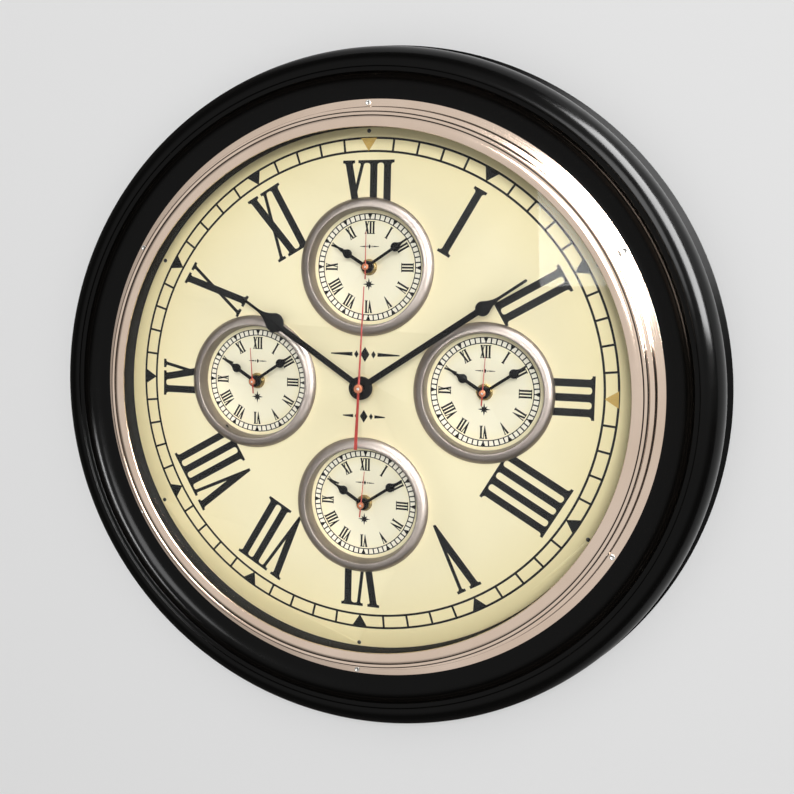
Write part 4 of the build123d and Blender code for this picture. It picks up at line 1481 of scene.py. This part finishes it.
@dataclass(frozen=True)
class CrossRecess:
    """Cross-shaped driver recess that is sunk into the flat heads of screws."""

    reach: float
    slot: float
    depth: float
    least_area: float
    least_facing: float = 0.99

    def cut(self, bm: Mesh, toward: Vector) -> None:
        """Sink a recess into every head that faces a direction.

        Args:
            bm: Mesh of the screws in millimetres.
            toward: Direction in which the heads face.
        """
        facing = [face for face in bm.faces if face.normal.dot(toward) > self.least_facing]
        heads = [face for face in facing if face.calc_area() > self.least_area]
        for head in heads:
            rim = head.edges[:]
            middle = head.calc_center_median()
            bmesh.ops.delete(bm, geom=[head], context="FACES_ONLY")
            verts = [bm.verts.new(middle + Vector((u, 0.0, v))) for u, v in self.corners()]
            mouth = [bm.edges.new((verts[index - 1], verts[index])) for index in range(len(verts))]
            bmesh.ops.triangle_fill(bm, use_beauty=True, use_dissolve=False, edges=rim + mouth)
            made = bmesh.ops.extrude_edge_only(bm, edges=mouth)["geom"]
            sunk = of_kind(made, bmesh.types.BMVert)
            bmesh.ops.translate(bm, vec=toward * -self.depth, verts=sunk)
            bmesh.ops.contextual_create(bm, geom=of_kind(made, bmesh.types.BMEdge))
        bmesh.ops.recalc_face_normals(bm, faces=bm.faces[:])

    def corners(self) -> list[Point]:
        """Outline of the cross, as x and z from its middle."""
        arm, half = self.reach, self.slot / 2
        quarter = [(half, arm), (half, half), (arm, half), (arm, -half)]
        opposite = [(-u, -v) for u, v in quarter]
        return quarter + [(half, -half), (half, -arm)] + opposite + [(-half, half), (-half, arm)]


@dataclass
class RearWorks:
    """Board, movements, cells, fasteners and hanger behind the dial."""

    band_at: float = 11.0
    cell_edge: float = 0.5
    cell_segments: int = 4
    digits: int = 3

    def build(self) -> None:
        """Finish the screws, the cells and the pieces that only need a better edge and material."""
        rows = (
            ("dial_board", 0.2, BOARD, Slot.BOARD),
            ("hanger_plate", 0.2, ZINC, Slot.SCREW),
            ("movement_cases", 0.25, HOUSING, Slot.HOUSING),
            ("movement_covers", 0.15, HOUSING, Slot.HOUSING),
            ("battery_contacts", 0.06, SPRING, Slot.CONTACT),
            ("shaft_nuts", 0.2, BRASS, Slot.BRASS),
            ("nut_washers", 0.08, BRASS, Slot.BRASS),
        )
        for node, edge, finish, slot in rows:
            finish_node(node, edge, finish)
        screws = (
            ("bezel_screws", 0.2, -AXIS, CrossRecess(reach=0.95, slot=0.55, depth=0.35, least_area=3.0)),
            ("board_screws", 0.4, AXIS, CrossRecess(reach=1.6, slot=0.7, depth=0.7, least_area=9.0)),
            ("sub_dial_screws", 0.25, AXIS, CrossRecess(reach=0.95, slot=0.45, depth=0.4, least_area=3.0)),
            ("hanger_screws", 0.15, AXIS, CrossRecess(reach=1.6, slot=0.7, depth=0.6, least_area=9.0)),
        )
        for node, edge, toward, recess in screws:
            bm = machined(node, edge)
            recess.cut(bm, toward)
            make_piece(bm, f"{node}_finished", [ZINC], node)
        self.build_cells()

    def build_cells(self) -> None:
        """Finish the cells, with a copper band at the positive end."""
        bm = machined("batteries", self.cell_edge, self.cell_segments)
        arbors = [Extent.of(f"centre_arbor_{zone.value}") for zone in Zone]
        middles = sorted({round(arbor.centre[0], self.digits) for arbor in arbors})
        for middle in middles:
            bmesh.ops.bisect_plane(
                bm,
                geom=bm.verts[:] + bm.edges[:] + bm.faces[:],
                plane_co=(middle + self.band_at, 0.0, 0.0),
                plane_no=(1.0, 0.0, 0.0),
            )
        for face in bm.faces:
            x = face.calc_center_median().x
            nearest = min(middles, key=lambda middle: abs(middle - x))
            face.material_index = int(x - nearest > self.band_at)
        make_piece(bm, "batteries_finished", [SLEEVE, BAND], "batteries")


@dataclass(frozen=True)
class Softbox:
    """One area lamp that looks at the clock."""

    name: str
    place: Place
    width: float
    height: float
    watts: float
    for_shine: bool = False

    def build(self) -> None:
        """Hang the lamp; one for shine is seen in glossy surfaces only."""
        lamp = bpy.data.lights.new(self.name, "AREA")
        lamp.shape = "RECTANGLE"
        lamp.size = self.width
        lamp.size_y = self.height
        lamp.energy = self.watts
        holder = bpy.data.objects.new(self.name, lamp)
        holder.location = self.place
        holder.rotation_euler = (-Vector(self.place)).to_track_quat("-Z", "Y").to_euler()
        holder.visible_diffuse = not self.for_shine
        bpy.context.scene.collection.objects.link(holder)


@dataclass
class Studio:
    """Pale wall and floor, soft lamps and the camera at the photograph's angle."""

    wall_gap: float = 0.0008
    panel_half: float = 3.0
    panel_cells: int = 4
    floor_drop: float = 6.0
    camera_place: Place = (0.17139, -0.59767, 0.06709)
    azimuth: float = 16.742
    elevation: float = 4.2138
    roll: float = 1.1067
    lens: float = 41.23
    sensor: float = 36.0
    shift: Point = (0.0413, -0.0507)
    near: float = 0.01
    pale: float = 0.78
    room: Point = (0.06, 0.66)
    room_edge: Point = (0.35, 0.75)
    lamps: tuple[Softbox, ...] = (
        Softbox("window_softbox", (0.90, -3.70, 1.15), 1.5, 1.5, 84.0),
        Softbox("side_shine", (2.13, -0.99, 1.53), 1.3, 2.6, 520.0, for_shine=True),
        Softbox("rear_softbox", (0.9, 1.6, 1.1), 1.2, 1.2, 45.0),
        Softbox("rear_fill", (-1.2, 1.4, -0.2), 1.0, 1.0, 20.0),
    )

    def build(self) -> None:
        """Set the stage: the wall stands just behind the clock and the floor lies well below it."""
        upright = Matrix.Rotation(math.radians(90.0), 4, "X")
        wall = Matrix.Translation((0.0, self.wall_gap, 0.0)) @ upright
        floor = Matrix.Translation((0.0, 0.0, -self.floor_drop))
        self.build_panel("studio_wall", WallPaint(), wall, mirrored=True)
        self.build_panel("studio_floor", PALE_FLOOR, floor, mirrored=False)
        for lamp in self.lamps:
            lamp.build()
        self.build_camera()
        bpy.context.scene.view_settings.view_transform = "Standard"
        self.build_air()

    def build_panel(self, name: str, finish: Finish, matrix: Matrix, mirrored: bool) -> None:
        """Stand one large flat panel on the stage.

        Args:
            name: Name of the panel.
            finish: Its paint.
            matrix: Its place and tilt.
            mirrored: Whether glossy surfaces show it.
        """
        bm = bmesh.new()
        cells = self.panel_cells
        bmesh.ops.create_grid(bm, x_segments=cells, y_segments=cells, size=self.panel_half, matrix=matrix)
        mesh = bpy.data.meshes.new(name)
        bm.to_mesh(mesh)
        bm.free()
        mesh.materials.append(finish.material())
        panel = bpy.data.objects.new(name, mesh)
        panel.visible_glossy = mirrored
        bpy.context.scene.collection.objects.link(panel)

    def build_air(self) -> None:
        """Fill the air with a bright room ahead of the clock, and show it pale to the camera."""
        world = bpy.data.worlds.new("studio_air")
        world.use_nodes = True
        wiring = Wiring(world.node_tree)
        path = wiring.add("ShaderNodeLightPath").outputs
        direction = wiring.add("ShaderNodeTexCoord").outputs["Generated"]
        ahead = wiring.vector("DOT_PRODUCT", "Value", direction, tuple(-AXIS))
        room = wiring.ramp(ahead, *self.room, self.room_edge, "SMOOTHSTEP")
        direct = wiring.calc("MAXIMUM", path["Is Camera Ray"], path["Is Transmission Ray"])
        seen = wiring.add("ShaderNodeMix", {"Factor": direct, "A": room, "B": self.pale})
        air = world.node_tree.nodes["Background"].inputs
        wiring.feed(air["Color"], WHITE)
        wiring.feed(air["Strength"], seen.outputs["Result"])
        bpy.context.scene.world = world

    def build_camera(self) -> None:
        """Place the camera where the photograph was taken from."""
        turn, rise, roll = (math.radians(angle) for angle in (self.azimuth, self.elevation, self.roll))
        back = Vector((math.sin(turn) * math.cos(rise), -math.cos(turn) * math.cos(rise), math.sin(rise)))
        right = (-back).cross(Vector((0.0, 0.0, 1.0))).normalized()
        up = right.cross(-back)
        level = math.cos(roll) * right + math.sin(roll) * up
        upright = math.cos(roll) * up - math.sin(roll) * right
        data = bpy.data.cameras.new("photo_camera")
        data.lens = self.lens
        data.sensor_width = self.sensor
        data.shift_x, data.shift_y = self.shift
        data.clip_start = self.near
        camera = bpy.data.objects.new("photo_camera", data)
        facing = Matrix((level, upright, back)).transposed().to_4x4()
        camera.matrix_world = Matrix.Translation(self.camera_place) @ facing
        bpy.context.scene.collection.objects.link(camera)
        bpy.context.scene.camera = camera


def main() -> None:
    """Build the clock and its stage in order, and report each piece."""
    logging.basicConfig(level=logging.INFO, format="%(name)s: %(message)s")
    assemblies = [CaseAssembly(), MainDial()]
    assemblies += [SmallDial(zone) for zone in SMALL_ZONES]
    assemblies += [HandSet(zone) for zone in Zone]
    assemblies += [RearWorks(), Studio()]
    for assembly in assemblies:
        assembly.build()
    for piece in MADE:
        LOG.info("%s: %d faces", piece.name, len(piece.data.polygons))


if __name__ == "__main__":
    main()
